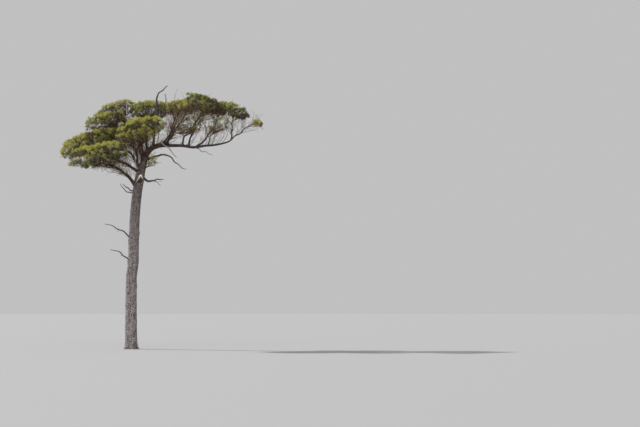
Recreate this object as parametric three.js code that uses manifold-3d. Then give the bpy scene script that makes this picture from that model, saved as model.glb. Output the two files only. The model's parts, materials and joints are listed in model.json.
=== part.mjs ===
// A mature Scots pine of open ground: a tall clear bole with a few dead branches, and a flat-topped
// crown of separate needle pads that reaches far out on one long limb.
//
// Millimetres, +Z up. The origin is the centre of the flat cut at ground level, +X is the side of the
// long limb, and +Y points to the back of the tree. A bearing is in degrees from +X towards +Y, and a
// climb is in degrees above the horizontal.
import * as THREE from "three";
import { mergeVertices } from "three/addons/utils/BufferGeometryUtils.js";
import Module from "manifold-3d";

const wasm = await Module();
wasm.setup();

// The gap at a seat, and the space that twigs and needles keep from limbs and other pads.
const SEAT_GAP = 0.4;
const CLEARANCE = 12;
const GOLDEN_TURN = Math.PI * (3 - Math.sqrt(5));

const TRUNK = {
  height: 12000, // from the ground to the top, where the long limb carries on
  lean: 740, // how far the top leans over to the right
  leanPower: 5.6, // the lean is all in the upper part
  jog: 120, // a step to the right, halfway up the bole
  jogFoot: 4200, // the height where the jog begins
  jogTop: 5700,
  sway: 50, // a slow bend towards the back and forth again
  footRadius: 375,
  forkHeight: 10400,
  forkRadius: 295,
  topRadius: 192,
  flare: 150, // root flare at the ground, on top of the foot radius
  flareFade: 280, // height over which the flare fades to a third
  buttresses: 5,
  buttressShare: 0.45, // share of the flare that stands out in the buttresses
  sides: 15,
  steps: 14,
  stepPower: 1.3, // rings lie closer together at the foot
};

// Each bough is one tapering limb. It grows "on" another limb at a share "at" of that limb's length,
// or carries on from its tip when it "follows". "leaves" and "arrives" are [bearing, climb].
const BOUGHS = [
  { name: "long_limb_root", follows: "trunk", arrives: [0, -2], tip: [2000, 60, 12710], radii: [188, 138] },
  { name: "long_limb_middle", follows: "long_limb_root", arrives: [5, 15],
    tip: [5750, 240, 12880], radii: [108, 54] },
  { name: "long_limb_end", follows: "long_limb_middle", arrives: [0, 16],
    tip: [7540, 300, 14040], radii: [51, 24] },
  { name: "right_bough_first", on: "long_limb_root", at: 0.9, leaves: [-25, 16], arrives: [-20, 76],
    tip: [2900, -500, 14500], radii: [68, 32] },
  { name: "right_bough_second", on: "long_limb_middle", at: 0.4, leaves: [-60, 78], arrives: [-20, 64],
    tip: [4250, -550, 14600], radii: [62, 32] },
  { name: "right_bough_third", on: "long_limb_middle", at: 0.53, leaves: [28, 34], arrives: [50, 66],
    tip: [5380, 700, 14400], radii: [60, 30] },
  { name: "right_bough_fourth", on: "long_limb_end", at: 0.22, leaves: [30, 74], arrives: [0, 64],
    tip: [6330, 260, 14330], radii: [38, 22] },
  { name: "front_right_bough", on: "long_limb_root", at: 0.97, leaves: [-80, 34], arrives: [-50, 56],
    tip: [3250, -1650, 14500], radii: [70, 34] },
  { name: "back_right_bough", on: "long_limb_middle", at: 0.05, leaves: [85, 38], arrives: [70, 56],
    tip: [2750, 2000, 14850], radii: [70, 36] },
  { name: "far_back_bough", on: "long_limb_middle", at: 0.3, leaves: [95, 40], arrives: [60, 58],
    tip: [4300, 1900, 14800], radii: [56, 30] },
  { name: "under_bough_inner", on: "right_bough_first", at: 0.5, leaves: [-50, 24], arrives: [-20, 40],
    tip: [3200, -300, 13500], radii: [36, 20] },
  { name: "under_bough_outer", on: "long_limb_middle", at: 0.74, leaves: [-70, 52], arrives: [-20, 50],
    tip: [5000, -260, 13400], radii: [38, 20] },
  { name: "left_low_bough", on: "trunk", at: 0.836, leaves: [192, 48], arrives: [205, 10],
    tip: [-1380, -900, 11330], radii: [112, 54] },
  { name: "left_middle_bough", on: "trunk", at: 0.915, leaves: [182, 27], arrives: [176, 32],
    tip: [-1300, 200, 12220], radii: [90, 46] },
  { name: "left_upright", on: "trunk", at: 0.9, leaves: [115, 70], arrives: [165, 66],
    tip: [-330, 950, 14230], radii: [94, 48] },
  { name: "left_high_bough", on: "left_upright", at: 0.42, leaves: [200, 42], arrives: [185, 36],
    tip: [-800, 380, 13850], radii: [56, 32] },
  { name: "front_bough", on: "trunk", at: 0.965, leaves: [236, 58], arrives: [262, 46],
    tip: [420, -950, 12900], radii: [74, 40] },
  { name: "top_bough", on: "long_limb_root", at: 0.2, leaves: [118, 66], arrives: [100, 74],
    tip: [860, 820, 14450], radii: [78, 40] },
  { name: "back_left_bough", on: "trunk", at: 0.93, leaves: [125, 46], arrives: [120, 34],
    tip: [-560, 1980, 12900], radii: [82, 42] },
  { name: "back_bough", on: "trunk", at: 0.955, leaves: [82, 52], arrives: [90, 36],
    tip: [560, 2150, 13520], radii: [82, 42] },
  { name: "sprig_bough", on: "trunk", at: 0.918, leaves: [-45, 30], arrives: [-20, 48],
    tip: [1060, -270, 11420], radii: [32, 18] },
];

// Dead limbs carry no needles: they end in a bare point.
const DEAD_LIMBS = [
  { name: "dead_leader", on: "long_limb_root", at: 0.52, leaves: [70, 80], arrives: [160, 88],
    tip: [1530, 150, 15550], radii: [80, 60] },
  { name: "dead_leader_top", follows: "dead_leader", arrives: [5, 48],
    tip: [2200, 140, 16460], radii: [58, 24] },
  { name: "dead_leader_fork", on: "dead_leader", at: 0.52, leaves: [-10, 42], arrives: [170, 80],
    tip: [2060, 60, 15940], radii: [50, 18] },
  { name: "grey_snag", on: "left_high_bough", at: 0.5, leaves: [-60, 62], arrives: [0, 82],
    tip: [-300, -280, 15320], radii: [46, 20] },
  { name: "dead_bough", on: "trunk", at: 0.985, leaves: [-14, -1], arrives: [-12, -14],
    tip: [2130, -330, 12060], radii: [74, 52] },
  { name: "dead_bough_end", follows: "dead_bough", arrives: [-4, -8],
    tip: [3380, -480, 11170], radii: [50, 16] },
  { name: "dead_hanger", on: "long_limb_root", at: 0.8, leaves: [-80, 50], arrives: [0, -42],
    tip: [2800, -780, 11880], radii: [56, 20] },
  { name: "dead_twig", on: "long_limb_middle", at: 0.5, leaves: [-30, -22], arrives: [0, -18],
    tip: [5040, -260, 12080], radii: [26, 10] },
  { name: "sprig_twig", on: "sprig_bough", at: 0.7, leaves: [-20, 10], arrives: [0, 4],
    tip: [1860, -420, 11600], radii: [14, 8] },
  { name: "dead_elbow", on: "trunk", at: 0.91, leaves: [-20, -52], arrives: [-5, 10],
    tip: [1150, -170, 10440], radii: [90, 64] },
  { name: "dead_elbow_arm", follows: "dead_elbow", arrives: [0, -14],
    tip: [2010, -170, 10530], radii: [60, 18] },
  { name: "dead_elbow_fork", on: "dead_elbow_arm", at: 0.25, leaves: [-40, -24], arrives: [0, -62],
    tip: [1810, -340, 10120], radii: [26, 10] },
  { name: "dead_stub_front", on: "trunk", at: 0.813, leaves: [190, 14], arrives: [180, 44],
    tip: [-550, -160, 10250], radii: [50, 18] },
  { name: "dead_stub_back", on: "trunk", at: 0.797, leaves: [165, 22], arrives: [150, 74],
    tip: [-700, 190, 10310], radii: [44, 14] },
  { name: "dead_branch_upper", on: "trunk", at: 0.562, leaves: [186, 40], arrives: [184, 8],
    tip: [-1670, -240, 7760], radii: [58, 14] },
  { name: "dead_branch_lower", on: "trunk", at: 0.428, leaves: [186, 62], arrives: [184, 6],
    tip: [-1300, -190, 6160], radii: [60, 16] },
];

const LIMB_SHAPE = {
  handle: 0.38, // share of the reach over which a limb keeps its first and its last heading
  crook: 0.055, // sideways crookedness of the thinnest limb, as a share of the reach
  crookRadius: 60, // the root radius of a limb that is half as crooked
  sides: 8,
  deadSides: 6,
  stepLength: 430,
  fewestSteps: 3,
  mostSteps: 9,
};

// A pad of needles fills the space round "centre": "reach" sideways in X and Y, "rise" above and "hang"
// below, sheared by "slope" along X and Y. It grows from the tip of its bough. "loose" makes more and
// smaller sprays than elsewhere, and in a "clump" they may run into each other.
const PADS = [
  { name: "pad_left_low", bough: "left_low_bough", centre: [-1960, -1800, 11900], reach: [2020, 1620],
    rise: 800, hang: 720, slope: [0.16, 0], seed: 11 },
  { name: "pad_left", bough: "left_middle_bough", centre: [-2700, 400, 12860], reach: [1880, 1480],
    rise: 800, hang: 620, slope: [0.36, 0], seed: 12 },
  { name: "pad_left_high", bough: "left_high_bough", centre: [-1680, 420, 14240], reach: [1380, 1150],
    rise: 580, hang: 600, slope: [0.22, 0], seed: 13 },
  { name: "pad_upper_left", bough: "left_upright", centre: [-1000, 1700, 15000], reach: [1340, 1350],
    rise: 640, hang: 660, slope: [0.24, 0], seed: 14 },
  { name: "pad_top", bough: "top_bough", centre: [1020, 1250, 15040], reach: [1380, 1350],
    rise: 590, hang: 640, slope: [0, 0], seed: 15 },
  { name: "pad_front", bough: "front_bough", centre: [540, -1750, 13520], reach: [1600, 1480],
    rise: 800, hang: 720, slope: [0.16, 0], seed: 16 },
  { name: "pad_right_inner", bough: "right_bough_first", centre: [2860, -500, 15080], reach: [1120, 980],
    rise: 420, hang: 400, slope: [0.1, 0], seed: 17 },
  { name: "pad_right_top", bough: "right_bough_second", centre: [4520, -480, 15180], reach: [1340, 1200],
    rise: 660, hang: 440, slope: [-0.24, 0], seed: 18 },
  { name: "pad_right_middle", bough: "right_bough_third", centre: [5460, 960, 15120], reach: [1120, 1050],
    rise: 500, hang: 400, slope: [-0.1, 0], seed: 19 },
  { name: "pad_right_outer", bough: "right_bough_fourth", centre: [6440, 40, 14840], reach: [960, 1000],
    rise: 540, hang: 440, slope: [-0.32, 0], seed: 20 },
  { name: "pad_tip", bough: "long_limb_end", centre: [7900, 320, 14120], reach: [420, 360],
    rise: 240, hang: 200, slope: [0, 0], clump: true, seed: 21 },
  { name: "pad_under_inner", bough: "under_bough_inner", centre: [3650, -520, 13950], reach: [1200, 950],
    rise: 500, hang: 540, slope: [0.1, 0], loose: 0.6, seed: 22 },
  { name: "pad_under_outer", bough: "under_bough_outer", centre: [5380, -420, 13980], reach: [960, 850],
    rise: 480, hang: 480, slope: [0.1, 0], loose: 0.6, seed: 23 },
  { name: "pad_sprig", bough: "sprig_bough", centre: [1270, -320, 11640], reach: [380, 330],
    rise: 290, hang: 240, slope: [0, 0], clump: true, seed: 24 },
  { name: "pad_front_right", bough: "front_right_bough", centre: [3900, -2350, 14840], reach: [1250, 1060],
    rise: 460, hang: 400, slope: [0, 0], seed: 25 },
  { name: "pad_back_right", bough: "back_right_bough", centre: [2960, 2760, 15320], reach: [1500, 1300],
    rise: 500, hang: 380, slope: [0.12, 0], seed: 26 },
  { name: "pad_far_back", bough: "far_back_bough", centre: [4950, 2720, 15270], reach: [1200, 1150],
    rise: 480, hang: 380, slope: [-0.1, 0], seed: 27 },
  { name: "pad_back_left", bough: "back_left_bough", centre: [-1300, 3000, 13480], reach: [1560, 1500],
    rise: 720, hang: 560, slope: [0.1, 0], seed: 28 },
  { name: "pad_back", bough: "back_bough", centre: [700, 3300, 14180], reach: [1500, 1450],
    rise: 640, hang: 520, slope: [0.05, 0], seed: 29 },
];

const GROWTH = {
  stemShare: 0.4, // how far past the centre the stem runs, as a share of the pad's reach
  stemLift: -0.1, // height of the stem's tip over the centre, as a share of the rise
  pillow: 2.6, // how square the edge of a pad's space is: 2 makes it an ellipsoid
  entry: 0.94, // depth at which a bough enters its pad, where it ends
  tipArea: 4.4e5, // level area that each tip has to itself, in square millimetres
  fewestTips: 4,
  inset: 0.72, // how far the outermost tips stay inside the rim, as a share of a spray's radius
  lowEvery: 3, // each third tip belongs to the lower tier
  topTier: 0.72, // height of the middle tips of the upper tier, as a share of the rise
  lowTier: 0.4, // depth of the middle tips of the lower tier, as a share of the hang
  forks: 5, // places along a twig where another may fork off
  turnCost: 0.75, // how strongly a fork prefers to go on forwards
  thinning: 0.45, // radius of a twig's root, as a share of its parent's there
  tipRadius: 8,
  stoutRadius: 25, // a stouter twig has three steps, a shorter one than the length below has only one
  bentLength: 600,
  border: 0.03, // how much nearer its own centre than any other pad's a twig stays
};

const SPRAY = {
  teeth: 6, // each tooth is a bunch of needles
  fill: 0.64, // radius, as a share of the spacing of the tips
  valley: 0.48, // radius between two teeth, as a share of the whole
  ragged: 0.25, // how much the teeth differ in length
  // Height of the lowest and of the highest tooth over the shoot's end, as a share of the radius.
  lowest: -0.05,
  highest: 0.6,
  valleyLift: 0.12,
  body: 0.64, // height of the middle
  foot: 0.14, // depth of the lowest corner under the shoot's end, and how far it lies to one side
  footOut: 0.24,
  forward: 0.8, // how far a spray looks along its twig rather than straight up
  // A spray that doesn't fit is tried nearer to the centre and smaller before it is left out: each pair is
  // its share of the full size and the share of the way out to its place.
  fits: [[1, 1], [1, 0.92], [1, 0.82], [0.8, 1], [0.8, 0.85], [0.64, 1], [0.64, 0.85], [0.5, 1], [0.5, 0.75]],
  place: 0.9, // share of a twig's length at which its spray sits, so that its pointed end is well inside
};

const COLOURS = {
  bark: 0x6f6058,
  deadWood: 0x7c746e,
  needles: 0x6f7a2a,
};

// Random numbers from 0 to 1 that are the same on every run.
class Dice {
  constructor(seed) {
    this.state = seed >>> 0;
  }

  roll() {
    this.state = (this.state + 0x6d2b79f5) >>> 0;
    let t = this.state;
    t = Math.imul(t ^ (t >>> 15), t | 1);
    t ^= t + Math.imul(t ^ (t >>> 7), t | 61);
    return ((t ^ (t >>> 14)) >>> 0) / 4294967296;
  }

  between(low, high) {
    return low + (high - low) * this.roll();
  }
}

const vector = (xyz) => new THREE.Vector3(...xyz);

function heading([bearing, climb]) {
  const b = THREE.MathUtils.degToRad(bearing);
  const c = THREE.MathUtils.degToRad(climb);
  return new THREE.Vector3(Math.cos(b) * Math.cos(c), Math.sin(b) * Math.cos(c), Math.sin(c));
}

// Any unit vector square to another: level where that is possible.
function sideOf(direction) {
  const side = new THREE.Vector3(-direction.y, direction.x, 0);
  return side.lengthSq() > 1e-6 ? side.normalize() : new THREE.Vector3(1, 0, 0);
}

class TrunkCurve extends THREE.Curve {
  getPoint(share, target = new THREE.Vector3()) {
    const sway = TRUNK.sway * (1 - Math.cos(2 * Math.PI * share));
    const height = TRUNK.height * share;
    const jog = TRUNK.jog * THREE.MathUtils.smoothstep(height, TRUNK.jogFoot, TRUNK.jogTop);
    return target.set(TRUNK.lean * share ** TRUNK.leanPower + jog, sway, height);
  }
}

// A smooth sweep from a root to a tip, with a crookedness that fades out at both ends.
class LimbCurve extends THREE.Curve {
  constructor(root, leaves, tip, arrives, radius, seed) {
    super();
    const reach = root.distanceTo(tip);
    const handle = reach * LIMB_SHAPE.handle;
    this.sweep = new THREE.CubicBezierCurve3(
      root,
      root.clone().addScaledVector(leaves, handle),
      tip.clone().addScaledVector(arrives, -handle),
      tip,
    );
    const dice = new Dice(seed);
    this.phases = [dice.between(0, 2 * Math.PI), dice.between(0, 2 * Math.PI)];
    this.crook = (reach * LIMB_SHAPE.crook) / (1 + (radius / LIMB_SHAPE.crookRadius) ** 2);
    this.side = sideOf(tip.clone().sub(root).normalize());
    this.rise = new THREE.Vector3().crossVectors(tip.clone().sub(root).normalize(), this.side);
  }

  getPoint(share, target = new THREE.Vector3()) {
    const fade = this.crook * Math.sin(Math.PI * share) ** 2;
    this.sweep.getPoint(share, target);
    target.addScaledVector(this.side, fade * Math.sin(2 * Math.PI * share + this.phases[0]));
    return target.addScaledVector(this.rise, fade * Math.sin(4 * Math.PI * share + this.phases[1]));
  }
}

// The section plane at each of a curve's rings, turned as little as possible from one to the next.
function ringsAlong(curve, shares) {
  let side = null;
  return shares.map((share) => {
    const point = curve.getPoint(share);
    const along = curve.getTangent(share);
    side = side ? side.clone().addScaledVector(along, -side.dot(along)).normalize() : sideOf(along);
    return { point, side, other: new THREE.Vector3().crossVectors(side, along) };
  });
}

// A closed round bar bent along a curve: radiusAt gives its radius at a share and an angle, and
// "extra" makes it thicker and longer all round.
function barAlong(curve, radiusAt, sides, steps, extra = 0, shareOf = (s) => s) {
  const bar = new THREE.CylinderGeometry(1, 1, 1, sides, steps);
  const shares = Array.from({ length: steps + 1 }, (_, i) => shareOf(i / steps));
  const rings = ringsAlong(curve, shares);
  rings[0].point.addScaledVector(curve.getTangent(0), -extra);
  rings[steps].point.addScaledVector(curve.getTangent(1), extra);
  const at = bar.attributes.position;
  for (let i = 0; i < at.count; i++) {
    const ring = Math.round((at.getY(i) + 0.5) * steps);
    const { point, side, other } = rings[ring];
    const radius = radiusAt(shares[ring], Math.atan2(at.getZ(i), at.getX(i))) + extra;
    const spot = point.clone().addScaledVector(side, at.getX(i) * radius);
    spot.addScaledVector(other, at.getZ(i) * radius);
    at.setXYZ(i, spot.x, spot.y, spot.z);
  }
  return bar;
}

function solidOf(geometry) {
  const bare = new THREE.BufferGeometry();
  bare.setAttribute("position", geometry.toNonIndexed().getAttribute("position"));
  const merged = mergeVertices(bare, 1e-2);
  const corners = Array.from(merged.index.array);
  // A pointed end leaves triangles with two corners in one place.
  const isFlat = (i) => new Set(corners.slice(i - (i % 3), i - (i % 3) + 3)).size < 3;
  return new wasm.Manifold(
    new wasm.Mesh({
      numProp: 3,
      vertProperties: merged.attributes.position.array,
      triVerts: new Uint32Array(corners.filter((_, i) => !isFlat(i))),
    }),
  );
}

function meshOf(name, solid, colour) {
  const { vertProperties, triVerts } = solid.getMesh();
  const geometry = new THREE.BufferGeometry();
  geometry.setAttribute("position", new THREE.BufferAttribute(vertProperties, 3));
  geometry.setIndex(new THREE.BufferAttribute(triVerts, 1));
  geometry.computeVertexNormals();
  const material = new THREE.MeshStandardMaterial({ color: colour, roughness: 0.9, metalness: 0 });
  const mesh = new THREE.Mesh(geometry, material);
  mesh.name = name;
  return mesh;
}

function trunkRadius(share, angle) {
  const height = share * TRUNK.height;
  const { footRadius, forkRadius, forkHeight, topRadius } = TRUNK;
  const bole = THREE.MathUtils.lerp(footRadius, forkRadius, Math.min(height / forkHeight, 1));
  const neck = THREE.MathUtils.smoothstep(height, forkHeight, TRUNK.height);
  const lobe = 1 - TRUNK.buttressShare + TRUNK.buttressShare * Math.cos(TRUNK.buttresses * angle);
  const flare = TRUNK.flare * Math.exp(-height / TRUNK.flareFade) * lobe;
  return THREE.MathUtils.lerp(bole, topRadius, neck) + flare;
}

// Every limb, by name: its curve, its radius along it, and its solid.
const limbs = new Map();

const trunkShare = (share) => share ** TRUNK.stepPower;

function makeTrunk() {
  const curve = new TrunkCurve();
  const bar = (extra) => solidOf(barAlong(curve, trunkRadius, TRUNK.sides, TRUNK.steps, extra, trunkShare));
  const radiusAt = (share) => trunkRadius(share, 0);
  limbs.set("trunk", { curve, radiusAt, solid: bar(0), cutter: bar(SEAT_GAP) });
}

// A cut or a join can leave loose scraps, which are dropped.
function largestOf(solid) {
  return solid.decompose().reduce((best, body) => (body.volume() > best.volume() ? body : best));
}

function makeLimb(limb, order, sides) {
  const parent = limbs.get(limb.follows ?? limb.on);
  const at = limb.follows ? 1 : limb.at;
  const root = parent.curve.getPoint(at);
  const leaves = limb.follows ? parent.curve.getTangent(1) : heading(limb.leaves);
  const pad = PADS.find((p) => p.bough === limb.name);
  const tip = pad ? entryOf(pad, vector(limb.tip)) : vector(limb.tip);
  const curve = new LimbCurve(root, leaves, tip, heading(limb.arrives), limb.radii[0], order);
  const steps = Math.round(root.distanceTo(tip) / LIMB_SHAPE.stepLength);
  const rings = THREE.MathUtils.clamp(steps, LIMB_SHAPE.fewestSteps, LIMB_SHAPE.mostSteps);
  const radiusAt = (share) => THREE.MathUtils.lerp(limb.radii[0], limb.radii[1], share);
  const bar = (extra) => solidOf(barAlong(curve, radiusAt, sides, rings, extra));
  let solid = bar(0);
  for (const other of limbs.values()) solid = solid.subtract(other.cutter);
  limbs.set(limb.name, { curve, radiusAt, solid: largestOf(solid), cutter: bar(SEAT_GAP) });
}

// How far out in a pad's space a point lies: 0 at the centre, 1 on its surface, which is a pillow's.
function depthIn(pad, point) {
  const x = point.x - pad.centre[0];
  const y = point.y - pad.centre[1];
  const z = point.z - pad.centre[2] - pad.slope[0] * x - pad.slope[1] * y;
  const level = Math.hypot(x / pad.reach[0], y / pad.reach[1]);
  const upright = Math.abs(z / (z > 0 ? pad.rise : pad.hang));
  return (level ** GROWTH.pillow + upright ** GROWTH.pillow) ** (1 / GROWTH.pillow);
}

// The point where a line from outside towards the pad's centre enters its space.
function entryOf(pad, outside) {
  const centre = vector(pad.centre);
  const depth = depthIn(pad, outside);
  return centre.clone().lerp(outside, GROWTH.entry / depth);
}

function inOwnSpace(pad, point) {
  const own = depthIn(pad, point);
  return own <= 1 && PADS.every((p) => p === pad || own + GROWTH.border < depthIn(p, point));
}

// The solids made so far. A twig or spray that would come near one of them is left out.
const neighbours = [];

function isClear(solid, others) {
  return others.every((other) => solid.minGap(other, CLEARANCE) >= CLEARANCE);
}

// A three-sided twig. Another forks off its axis, which is straight from each ring to the next.
class Twig {
  constructor(curve, radius, tipRadius) {
    const steps = radius > GROWTH.stoutRadius ? 3 : curve.getLength() > GROWTH.bentLength ? 2 : 1;
    Object.assign(this, { curve, radius, tipRadius, steps, points: curve.getPoints(steps) });
    this.forks = Array.from({ length: GROWTH.forks }, (_, i) => this.forkAt(0.95 * ((i + 1) / GROWTH.forks)));
  }

  radiusAt(share) {
    return THREE.MathUtils.lerp(this.radius, this.tipRadius, share);
  }

  forkAt(share) {
    const step = Math.min(Math.floor(share * this.steps), this.steps - 1);
    const [start, end] = this.points.slice(step, step + 2);
    const along = end.clone().sub(start).normalize();
    const from = start.clone().lerp(end, share * this.steps - step);
    return { from, along, radius: this.radiusAt(share), taken: false };
  }

  geometry() {
    return barAlong(this.curve, (share) => this.radiusAt(share), 3, this.steps);
  }
}

// The first stretch still lies against its parent, so only the rest has to keep to the pad's space.
function twigIsFree(pad, shoot) {
  const shares = [0.4, 0.55, 0.7, 0.85, 1];
  const inside = shares.every((share) => inOwnSpace(pad, shoot.curve.getPoint(share)));
  return inside && isClear(solidOf(shoot.geometry()), neighbours);
}

// A tuft: a ring of needle bunches of uneven length and height that stand out round the end of a shoot.
// Its lowest corner lies to one side, so that the shoot runs into the middle of a face.
function spray(root, direction, size, bunches) {
  const star = new THREE.SphereGeometry(1, 2 * SPRAY.teeth, 2);
  const side = sideOf(direction);
  const other = new THREE.Vector3().crossVectors(direction, side);
  const at = star.attributes.position;
  for (let i = 0; i < at.count; i++) {
    const onRim = Math.abs(at.getY(i)) < 0.5;
    const bearing = Math.atan2(at.getZ(i), at.getX(i)) / Math.PI;
    const step = onRim ? Math.round(bearing * SPRAY.teeth) + SPRAY.teeth : 0.5;
    const bunch = bunches[Math.floor(step / 2) % SPRAY.teeth];
    let [out, lift] = step % 2 ? [SPRAY.valley, SPRAY.valleyLift] : [bunch.length, bunch.lift];
    if (!onRim) [out, lift] = at.getY(i) > 0 ? [0, SPRAY.body] : [SPRAY.footOut, -SPRAY.foot];
    const angle = bunches[0].turn + (step * Math.PI) / SPRAY.teeth;
    const spot = root.clone().addScaledVector(direction, lift * size);
    spot.addScaledVector(side, -out * size * Math.cos(angle));
    spot.addScaledVector(other, out * size * Math.sin(angle));
    at.setXYZ(i, spot.x, spot.y, spot.z);
  }
  return star;
}

function sprayIsFree(pad, star, others) {
  const at = star.attributes.position;
  const corners = Array.from({ length: at.count }, (_, i) => new THREE.Vector3().fromBufferAttribute(at, i));
  return corners.every((corner) => inOwnSpace(pad, corner)) && isClear(solidOf(star), others);
}

// The stem of a pad runs on from the bough's tip, through the centre and out on the far side.
function stemOf(pad) {
  const bough = limbs.get(pad.bough);
  const arrives = bough.curve.getTangent(1);
  const root = bough.curve.getPoint(1).addScaledVector(arrives, SEAT_GAP);
  const out = new THREE.Vector2(pad.centre[0] - root.x, pad.centre[1] - root.y);
  const span = Math.max(Math.hypot(out.x / pad.reach[0], out.y / pad.reach[1]), 0.35);
  out.multiplyScalar(GROWTH.stemShare / span);
  const lift = pad.rise * GROWTH.stemLift + pad.slope[0] * out.x + pad.slope[1] * out.y;
  const tip = new THREE.Vector3(pad.centre[0] + out.x, pad.centre[1] + out.y, pad.centre[2] + lift);
  const bend = root.clone().addScaledVector(arrives, root.distanceTo(tip) * 0.4);
  const radius = bough.radiusAt(1) * 0.92;
  return new Twig(new THREE.QuadraticBezierCurve3(root, bend, tip), radius, radius * 0.4);
}

// The tips lie round the centre at golden angles, out to the rim, on an upper and a lower tier.
function tipOf(pad, index, count, dice) {
  const spread = 1 - GROWTH.inset * SPRAY.fill * Math.sqrt(Math.PI / count);
  const out = spread * Math.sqrt((index + 0.6) / count);
  const turn = index * GOLDEN_TURN + pad.seed + dice.between(-0.25, 0.25);
  const low = index % GROWTH.lowEvery === GROWTH.lowEvery - 1;
  const tier = low ? -pad.hang * GROWTH.lowTier : pad.rise * GROWTH.topTier;
  const x = pad.reach[0] * out * Math.cos(turn);
  const y = pad.reach[1] * out * Math.sin(turn);
  const z = tier * (1 - out ** GROWTH.pillow) ** (1 / GROWTH.pillow) * dice.between(0.85, 1.1);
  return new THREE.Vector3(x, y, z + pad.slope[0] * x + pad.slope[1] * y).add(vector(pad.centre));
}

// A new twig forks off the wood that is near its tip and already points that way, where no other does.
function forkFor(tip, wood) {
  const costOf = ({ from, along }) => {
    const way = tip.clone().sub(from);
    return way.length() * (1 + GROWTH.turnCost) - way.dot(along) * GROWTH.turnCost;
  };
  const free = wood.flatMap((twig) => twig.forks).filter((fork) => !fork.taken);
  return free.reduce((best, fork) => (costOf(fork) < costOf(best) ? fork : best));
}

function growTwig(tip, fork) {
  const reach = tip.distanceTo(fork.from);
  const bend = fork.from.clone().lerp(tip, 0.5).addScaledVector(fork.along, 0.16 * reach);
  bend.z = THREE.MathUtils.lerp(bend.z, fork.from.z, 0.4);
  const radius = Math.max(fork.radius * GROWTH.thinning, GROWTH.tipRadius * 1.3);
  return new Twig(new THREE.QuadraticBezierCurve3(fork.from, bend, tip), radius, 0);
}

// A spray round a shoot at a share of its length, if it has room there.
function sprayOn(pad, shoot, share, size, others, dice) {
  const bunches = Array.from({ length: SPRAY.teeth }, () => ({
    turn: dice.between(0, Math.PI),
    length: 1 - SPRAY.ragged * dice.roll(),
    lift: dice.between(SPRAY.lowest, SPRAY.highest),
  }));
  const { from, along } = shoot.forkAt(share);
  const upward = along.clone().multiplyScalar(SPRAY.forward);
  upward.z += 1 - SPRAY.forward / 2;
  const star = spray(from, upward.normalize(), size, bunches);
  return sprayIsFree(pad, star, others) ? star : null;
}

// The twig for one tip, which ends inside its spray.
function growShoot(pad, aim, largest, wood, sprays, dice) {
  const others = pad.clump ? neighbours : [...neighbours, ...sprays.map(solidOf)];
  for (const [size, way] of SPRAY.fits) {
    const tip = vector(pad.centre).lerp(aim, way);
    const fork = forkFor(tip, wood);
    const shoot = growTwig(tip, fork);
    const star = sprayOn(pad, shoot, SPRAY.place, largest * size, others, dice);
    if (!star || !twigIsFree(pad, shoot)) continue;
    fork.taken = true;
    wood.push(shoot);
    sprays.push(star);
    return;
  }
}

function growPad(pad) {
  const stem = stemOf(pad);
  const area = Math.PI * pad.reach[0] * pad.reach[1];
  const loose = pad.loose ?? 1;
  const count = Math.max(Math.round(area / GROWTH.tipArea / loose), GROWTH.fewestTips);
  const largest = Math.sqrt(area / count) * SPRAY.fill;
  const wood = [stem];
  const sprays = [];
  for (let index = 0; index < count; index++) {
    const dice = new Dice(pad.seed * 1000 + index);
    growShoot(pad, tipOf(pad, index, count, dice), largest, wood, sprays, dice);
  }
  const parts = [...wood.map((shoot) => shoot.geometry()), ...sprays].map(solidOf);
  const whole = largestOf(parts.reduce((sum, piece) => sum.add(piece)));
  neighbours.push(whole);
  return whole;
}

const tree = new THREE.Group();
makeTrunk();
BOUGHS.forEach((limb, order) => makeLimb(limb, 100 + order, LIMB_SHAPE.sides));
DEAD_LIMBS.forEach((limb, order) => makeLimb(limb, 200 + order, LIMB_SHAPE.deadSides));
for (const { solid } of limbs.values()) neighbours.push(solid);

const deadNames = new Set(DEAD_LIMBS.map((limb) => limb.name));
for (const [name, { solid }] of limbs) {
  tree.add(meshOf(name, solid, deadNames.has(name) ? COLOURS.deadWood : COLOURS.bark));
}
for (const pad of PADS) tree.add(meshOf(pad.name, growPad(pad), COLOURS.needles));

export default tree;
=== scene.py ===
"""A mature Scots pine of open ground: a tall clear bole, dead limbs, and a flat-topped crown of needle pads.

The limbs and the pads grow here by the rule of the part's source, in metres, and the pads are carried on to
finer shoots with tufts of needles. +X is the side of the long limb, +Y is the back of the tree and Z is up.
A bearing is in degrees from +X towards +Y, and a climb is in degrees above the horizontal.
"""
import json
import logging
import math
from collections.abc import Callable, Iterable
from dataclasses import dataclass, field
from enum import Enum
from functools import cached_property

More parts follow.
